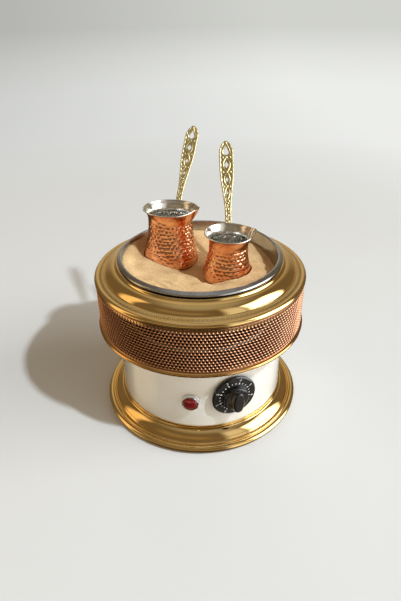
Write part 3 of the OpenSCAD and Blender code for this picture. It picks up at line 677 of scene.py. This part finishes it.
def make_knob(looks):
    x, y, z = JOINTS["knob_turn"]["pos_m"]
    place = radial_matrix(math.degrees(math.atan2(x, -y)), z / MM)
    back, face, top = 112.6, 116.2, 131.2
    skirt = revolve([(0, back + 1.8), (19.6, back + 1.8), (20, back)]
                    + arc((28.4, back + 0.6), 0.6, -90, 0, 4) + arc((28.4, back + 1.4), 0.6, 0, 50, 4)
                    + arc((27.2, face - 0.4), 0.4, 50, 90, 3)
                    + [(18.4, face), (17.6, face + 0.3), (17.1, face + 1.2), (16.8, face + 4)]
                    + arc((14.2, face + 5.2), 2.4, 10, 90, 8) + [(0, face + 7.8)], 160)
    grip_length, crown_at, crown_width = 15.6, 12, 7.4
    levels, heights = [], []
    for height, half_width in ((0, 12), (4, 11.6), (7.5, 10.6), (10, 8.8), (crown_at, crown_width)):
        levels.append(grip_section(half_width, grip_length - 0.03 * height, 2.7))
        heights.append(face + height)
    for step in range(1, 8):
        a = 90 * step / 7
        shrink = 1 - cosd(a)
        levels.append(grip_section(crown_width - 2.4 * shrink, grip_length - 0.36 - 2.6 * shrink,
                                   2.7 - 0.3 * shrink))
        heights.append(face + crown_at + (top - face - crown_at) * sind(a))
    points, faces = join([skirt, loft(levels, heights)])
    build("knob_moulding", moved(place, points), faces, [looks["knob_black"]], "knob",
          ["knob"], sharp=32)
    make_dial_marks(looks, place, face)


def numeral(text, size):
    """Flat solid numeral centred on the origin, as points in millimetres and faces."""
    curve = bpy.data.curves.new("numeral", "FONT")
    curve.body = text
    curve.size = size
    curve.extrude = 0.06
    curve.align_x = "CENTER"
    curve.align_y = "CENTER"
    holder = bpy.data.objects.new("numeral", curve)
    points, faces = take_shape(bpy.data.meshes.new_from_object(holder))
    bpy.data.objects.remove(holder)
    bpy.data.curves.remove(curve)
    return points, faces


def make_dial_marks(looks, place, face):
    """Painted ticks and plain numbers round the skirt of the knob."""
    shapes = []
    numbers, sweep, start, ticks_each = 7, 252, -150, 3
    ticks = ticks_each * (numbers - 1) + 1
    for i in range(ticks):
        long = i % ticks_each == 0
        half, inner, outer = (0.62, 18.6, 20.9) if long else (0.50, 19.1, 20.5)
        corners = [(-half, inner), (half, inner), (half, outer), (-half, outer)]
        points, faces = loft([corners, corners], [face - 0.05, face + 0.06])
        shapes.append((moved(turned(-(start + sweep * i / (ticks - 1)), "Z"), points), faces))
    for i in range(numbers):
        points, faces = numeral(str(i), 5.0)
        stand = turned(-(start + sweep * i / (numbers - 1)), "Z") @ Matrix.Translation((0, 24.3, face))
        shapes.append((moved(stand, points), faces))
    points, faces = join(shapes)
    build("knob_marks", moved(place, points), faces, [looks["dial_paint"]], "knob",
          weld=False)


def make_pilot_lamp(looks):
    place = radial_matrix(*control_turn("pilot_body"))
    wall = 111.1
    points, faces = revolve([(8.0, wall), (11.2, wall)] + arc((10.9, wall + 0.9), 0.3, 0, 60, 3)
                            + [(10.6, wall + 4.4)] + arc((9.95, wall + 5.4), 0.65, 10, 150, 8)
                            + [(9.35, wall + 5.2), (9.35, wall + 1.3), (8.0, wall + 1.3)], 128)
    build("pilot_bezel_turned", moved(place, points), faces, [looks["bezel_chrome"]], "housing",
          ["pilot_bezel"])
    dome_height, lens_r = 3.0, 9.2
    radius = (lens_r ** 2 + dome_height ** 2) / (2 * dome_height)
    rise = math.degrees(math.asin(lens_r / radius))
    dome = [(radius * sind(a), wall + 5.6 + dome_height - radius + radius * cosd(a))
            for a in np.linspace(rise, 0, 12)]
    points, faces = revolve([(0, wall), (7.9, wall), (7.9, wall + 1.5), (lens_r, wall + 1.5)] + dome, 96)
    build("pilot_lens_domed", moved(place, points), faces, [looks["red_lens"]], "housing",
          ["pilot_lens"], sharp=60)


# ---- Sand ----

def pocket(pot):
    """Centre, axis and radius of the socket that a pot's base leaves in the sand."""
    matrix = pot_matrix(pot)
    axis = matrix.to_3x3() @ Vector((0, 0, 1))
    return np.array(matrix.translation), np.array(axis), pot["base"] + 0.2


# About how far the sand's surface is above the foot of a socket, near its middle and at its edge
SURFACE_LIFT = 12
EDGE_LIFT = 14
# Height of the sand along the bowl's wall, by turn from the front towards the right
WALL_LINE = ((-180, 206), (-160, 210), (-140, 213.5), (-120, 215), (-75, 214.5), (-45, 213), (-15, 212),
             (15, 211), (40, 209.5), (58, 206), (72, 198), (83, 192.5), (95, 192), (110, 196.5),
             (130, 201.5), (150, 204))
# Height of the sand at places (x, y) out in the bowl
SAND_HEIGHTS = ((-80, 0, 207), (-70, -35, 208), (-38, -32, 205.5), (-45, -62, 208.5), (-5, -62, 206.5),
                (-12, -35, 201.5), (30, -68, 206.5), (70, -35, 206), (74, -8, 203.5), (68, 14, 200),
                (82, 8, 194), (84, -14, 195), (60, 34, 199), (80, 36, 196), (30, 50, 198), (20, 80, 203),
                (50, 68, 202), (-70, 60, 208), (-40, 86, 207), (8, 20, 190.5), (18, 22, 193))


def round_line(line, turn):
    """Height at a turn along a closed line of (turn, height) pairs."""
    turns = [pair[0] for pair in line] + [line[0][0] + 360]
    heights = [pair[1] for pair in line] + [line[0][1]]
    return np.interp((turn + 180) % 360 - 180, turns, heights)


def sand_height(x, y):
    """Dunes that meet the wall and the pots along their lines, rippled in front of the large pot."""
    anchors = np.array(SAND_HEIGHTS, float)
    away = np.hypot(x[:, None] - anchors[None, :, 0], y[:, None] - anchors[None, :, 1])
    weight = 1 / (away ** 2 + 30) ** 1.5
    total, height = weight.sum(1), (weight * anchors[None, :, 2]).sum(1)
    gap = np.maximum(BOWL_R - np.hypot(x, y), 0)
    weight = 1 / (gap ** 2 + 16) ** 1.5
    total, height = total + weight, height + weight * round_line(WALL_LINE, np.degrees(np.arctan2(x, -y)))
    for pot in POTS:
        centre, axis, radius = pocket(pot)
        centre = centre + SURFACE_LIFT * axis
        gap = np.maximum(np.hypot(x - centre[0], y - centre[1]) - radius, 0)
        weight = 1 / (gap ** 2 + 5) ** 1.5
        turn = np.degrees(np.arctan2(x - centre[0], -(y - centre[1])))
        total, height = total + weight, height + weight * round_line(pot["sand_line"], turn)
    along = (x + 50) * 0.80 + (y + 62) * 0.60
    beside = (y + 62) * 0.80 - (x + 50) * 0.60
    ripple = np.sin(along / 11 * 2 * math.pi) * np.exp(-(along / 17) ** 2 - (beside / 13) ** 2)
    uneven = np.array([noise.fractal(Vector((a / 17, b / 17, 0.3)), 0.9, 2.1, 4) for a, b in zip(x, y)])
    grain = np.array([noise.noise(Vector((a / 1.9, b / 1.9, 4.7))) for a, b in zip(x, y)])
    return height / total + 1.3 * ripple + 0.5 * uneven + 0.3 * grain


def make_sand(looks):
    """The sand's rolling surface, its side and floor in the bowl, and a socket for each pot."""
    low = box_mm("sand")[0]
    outer, corner, step, wall_points = BOWL_R - 0.25, BOWL_CORNER, 1.5, 300
    ring = [2 * math.pi * i / wall_points for i in range(wall_points)]
    flat = [(outer * math.cos(a), outer * math.sin(a)) for a in ring]
    edges = [(i, (i + 1) % wall_points) for i in range(wall_points)]
    sockets = []
    for pot in POTS:
        centre, axis, radius = pocket(pot)
        count = 180
        start = len(flat)
        side = np.cross(axis, (0, 1, 0))
        side /= np.linalg.norm(side)
        front = np.cross(side, axis)
        foot = []
        for k in range(count):
            a = 2 * math.pi * k / count
            foot.append(centre - 0.3 * axis + radius * (math.cos(a) * side + math.sin(a) * front))
        top = [point + EDGE_LIFT * axis for point in foot]
        for _ in range(3):
            heights = sand_height(np.array([p[0] for p in top]), np.array([p[1] for p in top]))
            top = [f + (h - f[2]) / axis[2] * axis for f, h in zip(foot, heights)]
        flat += [(p[0], p[1]) for p in top]
        edges += [(start + k, start + (k + 1) % count) for k in range(count)]
        sockets.append((start, count, foot, centre + EDGE_LIFT * axis, radius))
    chooser = np.random.default_rng(5)
    for row, y in enumerate(np.arange(-outer, outer, step * 0.87)):
        for x in np.arange(-outer, outer, step) + (row % 2) * step / 2:
            px, py = x + chooser.uniform(-0.3, 0.3), y + chooser.uniform(-0.3, 0.3)
            clear = math.hypot(px, py) < outer - 0.9
            for _, _, _, middle, radius in sockets:
                clear = clear and math.hypot(px - middle[0], py - middle[1]) > radius + 1.2
            if clear:
                flat.append((px, py))
    verts, _, triangles, *_ = geometry.delaunay_2d_cdt([Vector(p) for p in flat], edges, [], 0, 1e-5)
    plan = np.array([tuple(v) for v in verts])
    faces = []
    for triangle in triangles:
        middle = plan[list(triangle)].mean(0)
        outside = [math.hypot(middle[0] - m[0], middle[1] - m[1]) > r - 0.02
                   or max(triangle) >= start + count for start, count, _, m, r in sockets]
        in_socket = any(all(start <= i < start + count for i in triangle) for start, count, *_ in sockets)
        if all(outside) and not in_socket:
            faces.append(list(triangle))
    height = sand_height(plan[:, 0], plan[:, 1])
    points = [tuple(p) for p in np.column_stack([plan, height])]
    levels = [(outer, low.z + corner)] + arc((outer - corner, low.z + corner), corner, 0, -90, 8)[1:]
    above = list(range(wall_points))
    for radius, z in levels:
        start = len(points)
        points += [(radius * math.cos(a), radius * math.sin(a), z) for a in ring]
        below = list(range(start, start + wall_points))
        faces += [[above[i], above[(i + 1) % wall_points], below[(i + 1) % wall_points], below[i]]
                  for i in range(wall_points)]
        above = below
    faces.append(above)
    for start, count, foot, _, _ in sockets:
        first = len(points)
        points += [tuple(p) for p in foot]
        faces += [[start + k, start + (k + 1) % count, first + (k + 1) % count, first + k]
                  for k in range(count)]
        faces.append([first + k for k in range(count)])
    build("sand_dunes", np.array(points), faces, [looks["sand"]], "bowl", ["sand"], sharp=75,
          weld=False)


# ---- Pots ----

# Height of the flared mouth, thickness of the wall, radius of the base's round corner, and height of the
# zone below the rim that the pouring lip takes up
FLARE = 14
WALL = 1.2
FOOT = 8
SPOUT_ZONE = 13


def above_zone(pot, height):
    """0 below the zone of the pouring lip, rising to 1 at the rim."""
    return np.clip((height - (pot["height"] - SPOUT_ZONE)) / SPOUT_ZONE, 0, 1)


def side_radius(pot, height):
    """Radius of a pot's outer wall at a height above its base's round corner."""
    neck_at, belly_at = pot["height"] - FLARE, FOOT + 1
    if height <= neck_at:
        u = max(0, (height - belly_at) / (neck_at - belly_at))
        return pot["neck"] + (pot["base"] - pot["neck"]) * (1 - u) ** 3 * (1 + 3 * u)
    return pot["neck"] + (pot["rim"] - pot["neck"]) * ((height - neck_at) / FLARE) ** 2


def pot_rows(pot):
    """Rows of a pot's outline: radius, height, weight of the hammer marks, wall drawn in, and look."""
    tall, base, rim = pot["height"], pot["base"], pot["rim"]
    neck_at = tall - FLARE
    rows = [((base - FOOT) * t, 0.15 * (1 - t), 0, 0, 0) for t in (0.0, 0.3, 0.6, 0.85)]
    rows += [(r, z, 0.25, 0, 0) for r, z in arc((base - FOOT, FOOT), FOOT, -88, -5, 14)]
    body_rows = int((neck_at - FOOT) / 0.6)
    for i in range(body_rows + 1):
        z = FOOT + (neck_at - FOOT) * i / body_rows
        rows.append((side_radius(pot, z), z, min(1, (z - 4) / 5, (neck_at + 1.5 - z) / 3.5), 0, 0))
    for i in range(1, 17):
        z = neck_at + (FLARE - 1.1) * i / 16
        rows.append((side_radius(pot, z), z, 0, 0, 0))
    rows += [(r, z, 0, 0, 1) for r, z in arc((rim - 0.35, tall - 0.75), 0.75, -15, 180, 9)]
    for i in range(15, -1, -1):
        z = neck_at + (FLARE - 2.0) * i / 16
        rows.append((side_radius(pot, z) - WALL, z, 0, WALL, 1))
    for i in range(body_rows * 2 // 3, -1, -1):
        z = FOOT + 1 + (neck_at - FOOT - 1) * i / (body_rows * 2 // 3)
        rows.append((side_radius(pot, z) - WALL, z, min(1, (neck_at + 1.5 - z) / 3.5), WALL, 1))
    rows += [(r, z, 0.4, WALL, 1) for r, z in arc((base - FOOT, FOOT), FOOT - WALL, -6, -88, 9)]
    rows += [((base - FOOT) * t, WALL, 0.5, WALL, 1) for t in np.linspace(0.96, 0, 18)]
    return np.array(rows)


def hammer_marks(pot, radius, height, turn):
    """Depth of the overlapping round dents left by the planishing hammer, in rows round the pot."""
    chooser = np.random.default_rng(pot["seed"])
    columns = pot["dents_round"]
    pitch = 2 * math.pi * pot["neck"] / columns
    rise = pitch * 0.92
    rows = int(pot["height"] / rise) + 3
    shift = chooser.uniform(-0.20, 0.20, (rows, columns, 2))
    size = chooser.uniform(0.75, 1.2, (rows, columns))
    row = np.floor(height / rise).astype(int)
    nearest = np.full(np.broadcast(radius, turn).shape, 9.0)
    for step_row in (-1, 0, 1):
        dent_row = np.clip(row + step_row, 0, rows - 1)
        place = (turn / (2 * math.pi) * columns) - 0.5 * (dent_row % 2)
        column = np.floor(place).astype(int)
        for step_column in (-1, 0, 1, 2):
            dent_column = (column + step_column) % columns
            across = (place - (column + step_column) - shift[dent_row, dent_column, 0]) * pitch
            up = height - (dent_row + 0.5 + shift[dent_row, dent_column, 1]) * rise
            reach = (across ** 2 + up ** 2) / (pitch * 0.64) ** 2
            nearest = np.minimum(nearest, reach + 0.25 * (1 - size[dent_row, dent_column]))
    return 0.8 * (np.clip(nearest, 0, 1) - 1)


def spout_reach(pot, height, turn):
    """Distance from the pot's axis to the far side of its pouring lip, 0 away from it."""
    middle = pot["rim"] - 6
    radius = 1 + 8.5 * above_zone(pot, height)
    aside = middle * np.sin(turn)
    inside = (np.abs(aside) < radius) & (np.cos(turn) > 0) & (height > pot["height"] - SPOUT_ZONE)
    return np.where(inside, middle * np.cos(turn) + np.sqrt(np.clip(radius ** 2 - aside ** 2, 0, None)), 0)


def make_pot(pot, looks):
    """Hammered pot with its pouring lip, copper outside and tinned inside."""
    rows = pot_rows(pot)
    segments = pot["dents_round"] * 9
    height, weight, drawn_in = rows[None, :, 1], rows[None, :, 2], rows[None, :, 3]
    spout_turn = math.radians(pot["yaw"] - pot["spout"])

    def relief(radius, _, turn):
        marks = hammer_marks(pot, radius, np.repeat(height, segments, 0), turn)
        body = radius + marks * weight
        lip = spout_reach(pot, height, turn - spout_turn) - drawn_in
        blended = (body + lip + np.sqrt((body - lip) ** 2 + 0.8)) / 2
        out = np.where((lip > 5) & (height > pot["height"] - SPOUT_ZONE), np.maximum(blended, body), body)
        from_spout = np.degrees(np.arccos(np.cos(turn - spout_turn)))
        raised = above_zone(pot, height) ** 2 * np.exp(-(from_spout / 34) ** 2) * 3.4
        turning_marks = 0.25 * np.sin(radius * 1.3) * np.clip(radius / 6, 0, 1)
        rings = np.where((height < 1.5) & (drawn_in > 0), turning_marks, 0)
        return out - radius, raised + rings

    points, faces = revolve(rows[:, :2], segments, relief)
    look_of = np.repeat(rows[None, :-1, 4], segments, 0).reshape(-1)
    build(pot["name"] + "_pot_hammered", moved(yawed_matrix(pot), points),
          open_ends(faces, segments, len(rows)), [looks["hammered_copper"], looks["tinned_copper"]],
          pot["body"], [pot["name"] + "_pot"], sharp=60, face_looks=look_of)


# The handle, measured along its blade: its length, the pointed eye near its tip, its diamond holes with
# their half widths, the places where its strands cross, the beads down its stem, and its lean in degrees
BLADE = 123
EYE = {"at": 107.5, "half": 3.4, "apex": 8.6}
DIAMONDS = ((91.5, 2.9), (72.5, 2.2), (55.5, 1.6))
CROSSINGS = (101, 82, 63.5, 47.5)
BEADS = (42.0, 34.7, 26.6, 18.5, 10.6)
BLADE_LEAN = 57
# The handle's curved foot: its gap to the neck's radius, its thickness, and how far below the rim it is
BRACKET_GAP = 1.15
BRACKET_THICK = 2.5
BRACKET_DROP = 17.5


def blade_half_width(along):
    """Half the width of a handle's blade, as the CAD outline has it."""
    swell = (1 - math.cos(math.pi * min(1, max(0, (along / BLADE - 0.22) / 0.5)))) / 2
    tip = min(1, max(0, BLADE - along) / 16)
    return (4.3 + 5.2 * swell) * max(0.02, math.sin(math.pi / 2 * tip)) ** 0.7


def pierced_plate(outline, holes, thick):
    """Flat closed plate with holes; each loop is a list of (x, y) points."""
    flat, edges = [], []
    for loop in [outline] + holes:
        start = len(flat)
        flat += [Vector(point) for point in loop]
        edges += [(start + i, start + (i + 1) % len(loop)) for i in range(len(loop))]
    verts, _, triangles, *_ = geometry.delaunay_2d_cdt(flat, edges, [], 0, 1e-6)
    spans, start = [], 0
    for loop in [outline] + holes:
        spans.append(range(start, start + len(loop)))
        start += len(loop)
    kept = []
    for triangle in triangles:
        in_hole = any(all(i in span for i in triangle) for span in spans[1:])
        middle = sum((verts[i] for i in triangle), Vector((0, 0))) / 3
        if not in_hole and abs(middle.x) < blade_half_width(middle.y) - 0.5:
            kept.append(list(triangle))
    used = {tuple(sorted((t[i], t[(i + 1) % 3]))) for t in kept for i in range(3)}
    sides = []
    for edge in used:
        owners = [t for t in kept if edge[0] in t and edge[1] in t]
        if len(owners) == 1:
            sides.append(edge)
    count = len(verts)
    points = [(v.x, v.y, side * thick / 2) for side in (-1, 1) for v in verts]
    faces = kept + [[i + count for i in reversed(t)] for t in kept]
    faces += [[a, b, b + count, a + count] for a, b in sides]
    return np.array(points), faces


def blade_shapes():
    """Blade in its own plane: x across, y along, z through it. A pierced plate carries two scalloped
    rails that meet in a point, strands that cross between its holes, petals, and beads down the stem."""
    shapes = []
    spots = np.linspace(0, BLADE - 1.0, 90)
    edge = [(blade_half_width(s) - 1.0, s) for s in spots]
    outline = edge + [(-x, s) for x, s in reversed(edge)]
    eye = [(EYE["half"] * cosd(a), EYE["at"] + EYE["half"] * sind(a)) for a in np.linspace(-200, 20, 16)]
    eye.append((0, EYE["at"] + EYE["apex"]))
    holes = [eye] + [[(half, s), (0, s + 1.5 * half), (-half, s), (0, s - 1.5 * half)]
                     for s, half in DIAMONDS]
    shapes.append(pierced_plate(outline, holes, 1.5))
    spots = np.linspace(0, BLADE - 1.2, 190)
    for side in (-1, 1):
        path = [(side * max(0.1, blade_half_width(s) - 1.45), s, 0.0) for s in spots]
        radii = [0.85 + 0.50 * abs(math.sin(math.pi * s / 6.3)) ** 0.8 for s in spots]
        shapes.append(tube(path, radii, 10, 1.2))
    marks = [121.0] + list(CROSSINGS) + [38.4, 30.6, 22.6, 14.6, 7.0]
    swings = [0, 4.9, 4.3, 3.6, 2.9, 2.2, 2.2, 2.2, 2.2, 2.2]
    for side in (-1, 1):
        path, radii, sign = [], [], side
        for i in range(1, len(marks)):
            top, bottom = marks[i - 1], marks[i]
            for t in np.linspace(0, 1, 16)[:-1]:
                leaning = t ** 1.8 if i == 1 else t
                swing = sign * swings[i] * math.sin(math.pi * leaning) ** 0.8
                path.append((swing, top + (bottom - top) * t, 0.3 * side * math.cos(math.pi * t)))
                radii.append(0.85 if top > 45 else 0.75)
            sign = -sign
        shapes.append(tube(path, radii, 8, 1.55))
    for s in CROSSINGS:
        half = blade_half_width(s)
        shapes.append(ellipsoid((0, s, 0), (1.3, 1.7, 1.75)))
        for side in (-1, 1):
            shapes.append(ellipsoid((side * half * 0.50, s, 0), (half * 0.17, 2.1, 1.45)))
    for s in BEADS:
        shapes.append(ellipsoid((0, s, 0), (1.7, 2.3, 1.8)))
    return shapes


def make_handle(pot, looks):
    """Cast handle: a curved foot riveted to the neck and the openwork blade that rises from it."""
    name = pot["name"] + "_handle"
    points, faces = join(blade_shapes())
    mesh = bpy.data.meshes.new(name)
    mesh.from_pydata(points.tolist(), [], faces)
    blank = add_object(name + "_blank", mesh)
    fuse = blank.modifiers.new("fuse", "REMESH")
    fuse.mode = "VOXEL"
    fuse.voxel_size = 0.34
    soften = blank.modifiers.new("soften", "SMOOTH")
    soften.factor = 0.5
    soften.iterations = 1
    fused = blank.evaluated_get(bpy.context.evaluated_depsgraph_get())
    points, faces = take_shape(bpy.data.meshes.new_from_object(fused))
    bpy.data.objects.remove(blank)
    bpy.data.meshes.remove(mesh)
    stand = root_matrix(pot, BLADE_LEAN) @ turned(-pot["tilt"], "Z")
    points, faces = join([(moved(stand, points), faces), bracket(pot), handle_root(pot)])
    build(name + "_cast", moved(yawed_matrix(pot), points), faces, [looks["cast_brass"]], pot["body"],
          [name], sharp=50, weld=False)


def bracket(pot):
    """Curved foot of the handle, thinner towards its rounded ends."""
    inner, tall, span = pot["neck"] + BRACKET_GAP, 13, 26
    middle = pot["height"] - BRACKET_DROP
    profile = ((0, -0.86), (0.45, -1), (0.86, -0.86), (1, -0.5), (1, 0.5), (0.86, 0.86), (0.45, 1),
               (0, 0.86))
    sections = []
    turns = np.linspace(-span, span, 33)
    for a in turns:
        fade = math.sqrt(max(0.0, 1 - (abs(a) / span) ** 6))
        half_tall = tall / 2 * max(0.12, fade)
        depth = BRACKET_THICK * (0.62 + 0.38 * math.cos(math.pi / 2 * a / span))
        ring = [(inner + x * depth, middle + y * half_tall) for x, y in profile]
        sections += [(r * sind(a), r * cosd(a), z) for r, z in ring]
    return np.array(sections), stack_faces(len(turns), len(profile))


def handle_root(pot):
    """Waisted block where the blade grows out of the foot."""
    levels, heights = [], []
    for s, half_width, half_depth in ((-1.5, 5.0, 2.6), (1.5, 4.9, 2.3), (4.5, 4.5, 1.9), (7.5, 4.2, 1.5)):
        levels.append(grip_section(half_width, half_depth, 3, 24))
        heights.append(s)
    points, faces = loft(levels, heights)
    return moved(root_matrix(pot, BLADE_LEAN - 90), points), faces


def make_rivets(pot, looks):
    """Two domed rivets through the handle's foot and the neck of the pot."""
    head_at = BRACKET_GAP + BRACKET_THICK + 0.05
    head = arc((0, head_at - 1.75), 3.15, 34, 90, 8)
    tail = arc((0, -2.0 + 1.4), 2.6, -90, -33, 6)
    outline = tail + [(2.2, -1.9), (1.6, -1.8), (1.6, head_at - 0.1), (2.6, head_at)] + head
    shapes = []
    for side in (-1, 1):
        points, faces = revolve(outline, 32)
        stand = (turned(90 - pot["yaw"] + 15 * side, "Z")
                 @ Matrix.Translation((pot["neck"], 0, pot["height"] - BRACKET_DROP)) @ turned(90, "Y"))
        shapes.append((moved(stand, points), open_ends(faces, 32, len(outline))))
    points, faces = join(shapes)
    middle = np.array([points[face].mean(0) for face in faces])
    inside = np.hypot(middle[:, 0], middle[:, 1]) < pot["neck"] - 0.6
    build(pot["name"] + "_rivets_domed", moved(pot_matrix(pot), points), faces,
          [looks["rivet_copper"], looks["tinned_copper"]], pot["body"],
          [pot["name"] + "_rivets"], face_looks=inside)


# ---- Camera, light and floor ----

KEY_POWER = 29.5
FILL_POWER = 7.5


def set_camera():
    data = bpy.data.cameras.new("camera")
    data.lens = 29.95
    data.sensor_width = 36
    camera = add_object("camera", data)
    turn, pitch, roll = 6.5, 31.954, 0.754
    camera.matrix_world = (Matrix.Translation((-0.0646, -0.5673, 0.5025)) @ turned(-turn, "Z")
                           @ turned(90 - pitch, "X") @ turned(-roll, "Z"))
    bpy.context.scene.camera = camera


# What the metal mirrors: soft panels of a room. Each has the turn of its middle from the front towards
# the right, its half width and softness, the height of its middle, its half height and softness, all in
# degrees, and its light.
ROOM = {
    "window": (73, 23, 5, 14, 33, 7, (3.6, 3.75, 3.85)),
    "window_side": (34, 12, 6, 14, 40, 15, (0.62, 0.62, 0.60)),
    "sunlit_floor": (46, 25, 5, -15, 5.5, 3, (1.2, 1.2, 1.15)),
    "floor_right": (85, 60, 12, -42, 18, 8, (0.30, 0.28, 0.25)),
    "left_door": (-97, 10, 5, 14, 36, 8, (1.0, 0.72, 0.40)),
    "floor_left": (-98, 24, 8, -34, 11, 5, (0.85, 0.62, 0.34)),
    "floor_back": (172, 14, 5, -22, 12, 4, (1.0, 0.98, 0.92)),
    "wall_back": (174, 30, 16, 26, 40, 14, (0.36, 0.33, 0.27)),
    "front_wall": (-30, 30, 10, 30, 10, 6, (0.10, 0.08, 0.05)),
    "horizon": (-15, 72, 20, -7, 2.5, 2.5, (0.9, 0.68, 0.40)),
    "ceiling": (0, 181, 1, 90, 26, 16, (0.22, 0.24, 0.255)),
}
# Light of the room between the panels, and how far it is dimmed below the horizon
ROOM_SHADE = (0.175, 0.13, 0.08)
ROOM_FLOOR_SHADE = 0.4


def room_light(world):
    """Builds the room of soft panels as the world's light."""
    room = Nodes(world.node_tree)

    def inside(value, middle_to_edge, soft):
        """1 within an angle of a panel's middle and 0 past it, with a soft edge; both in degrees."""
        return room.span(value, math.radians(middle_to_edge + soft), math.radians(middle_to_edge - soft),
                         interpolation_type="SMOOTHSTEP")

    parts = room.split(room.node("ShaderNodeTexCoord").outputs["Generated"])
    turn = room.math("ARCTAN2", parts[0], room.math("MULTIPLY", parts[1], -1.0))
    rise = room.math("ARCSINE", parts[2])
    dim = room.span(rise, math.radians(-22), math.radians(-6), ROOM_FLOOR_SHADE,
                    interpolation_type="SMOOTHSTEP")
    light = room.scaled(ROOM_SHADE, dim)
    for middle, wide, wide_soft, height, tall, tall_soft, colour in ROOM.values():
        offset = room.math("WRAP", room.math("SUBTRACT", turn, math.radians(middle)), math.pi, -math.pi)
        above = room.math("ABSOLUTE", room.math("SUBTRACT", rise, math.radians(height)))
        strength = room.math("MULTIPLY", inside(room.math("ABSOLUTE", offset), wide, wide_soft),
                             inside(above, tall, tall_soft))
        fed = {0: room.scaled(colour, strength), 1: light}
        light = room.node("ShaderNodeVectorMath", fed, operation="ADD").outputs[0]
    background = world.node_tree.nodes["Background"]
    room.feed(background, "Color", light)
    room.feed(background, "Strength", 1.0)


def lamp(name, power, colour, size, place):
    """A lamp whose light doesn't fade with distance; the metal mirrors the room and not the lamp."""
    data = bpy.data.lights.new(name, "POINT")
    data.energy = power
    data.color = colour
    data.shadow_soft_size = size
    data.use_nodes = True
    fade = data.node_tree.nodes.new("ShaderNodeLightFalloff")
    fade.inputs["Strength"].default_value = 1.0
    data.node_tree.links.new(fade.outputs["Constant"], data.node_tree.nodes["Emission"].inputs["Strength"])
    holder = add_object(name, data)
    holder.location = place
    holder.visible_glossy = False


def light_studio():
    """A window's light from the front right, a low warm fill from the front left, and the room."""
    lamp("key", KEY_POWER, (0.80, 0.90, 1.0), 0.04, (0.761, -0.721, 1.434))
    lamp("fill", FILL_POWER, (1.0, 0.85, 0.62), 0.25, (-0.30, -1.25, 0.07))
    world = bpy.data.worlds.new("room")
    bpy.context.scene.world = world
    world.use_nodes = True
    room_light(world)


def studio_paper():
    """Pale paper: lit by the lamps near the object; further out a painted glow stands in for the room's light,
    brighter low down and towards the right.
    """
    look = Look("studio_paper")
    look.colour(look.ramp(look.noise(420, 3), [(0.3, (0.715, 0.705, 0.68)), (0.7, (0.735, 0.725, 0.70))]))
    look.roughness(look.noise(60, 3), 0.75, 0.9)
    look.bump(look.noise(2.5, 3), 0.02)
    parts = look.split(look.position)
    # Painted light: the far paper glows instead of being lit, darker with height and towards the left, as the
    # room's light falls
    tone = look.ramp(look.span(parts[2], 0, 280), [(0.0, (0.80, 0.81, 0.785)), (0.45, (0.72, 0.728, 0.696)),
                                                   (1.0, (0.60, 0.608, 0.575))])
    side = look.span(parts[0], -1150, 900, 0.72, 1.06)
    painted_glow = look.node("ShaderNodeEmission", {"Color": tone, "Strength": side}).outputs[0]
    far = look.span(look.reach(parts), 650, 1500)
    blend = look.node("ShaderNodeMixShader", {0: far, 1: look.shader.outputs[0], 2: painted_glow})
    look.feed(look.tree.nodes["Material Output"], "Surface", blend.outputs[0])
    return look.material


def make_stage():
    """A pale floor that curves up into a round backdrop that glows with painted light. Only the camera sees the
    backdrop, and the metal mirrors the room in place of the floor."""
    floor_r, edge_r, curve, top = 620, 2600, 1200, 3000
    finish = studio_paper()
    floor = revolve([(0, 0), (floor_r, 0), (floor_r, -10), (0, -10)], 96)
    outline = ([(floor_r, 0), (1500, 0)] + arc((edge_r, curve), curve, -90, 0, 24)
               + [(edge_r + curve, top), (edge_r + curve + 10, top)]
               + arc((edge_r, curve), curve + 10, 0, -90, 24) + [(floor_r, -10)])
    for name, shape, lit in (("floor", floor, True), ("backdrop", revolve(outline, 96), False)):
        points, faces = shape
        mesh = bpy.data.meshes.new(name)
        mesh.from_pydata((points * MM).tolist(), [], faces.tolist())
        mesh.materials.append(finish)
        mesh.shade_smooth()
        mesh.set_sharp_from_angle(angle=math.radians(40))
        piece = add_object(name, mesh)
        piece.visible_glossy = False
        if not lit:
            piece.visible_diffuse = False
            piece.visible_shadow = False


# ---- Assembly ----

set_camera()
LOOKS = make_looks()
dress_frame(LOOKS)
spin_housing(LOOKS)
perforate_band(LOOKS)
make_knob(LOOKS)
make_pilot_lamp(LOOKS)
make_sand(LOOKS)
for cezve in POTS:
    make_pot(cezve, LOOKS)
    make_handle(cezve, LOOKS)
    make_rivets(cezve, LOOKS)
light_studio()
make_stage()
bpy.context.scene.view_settings.view_transform = "Standard"
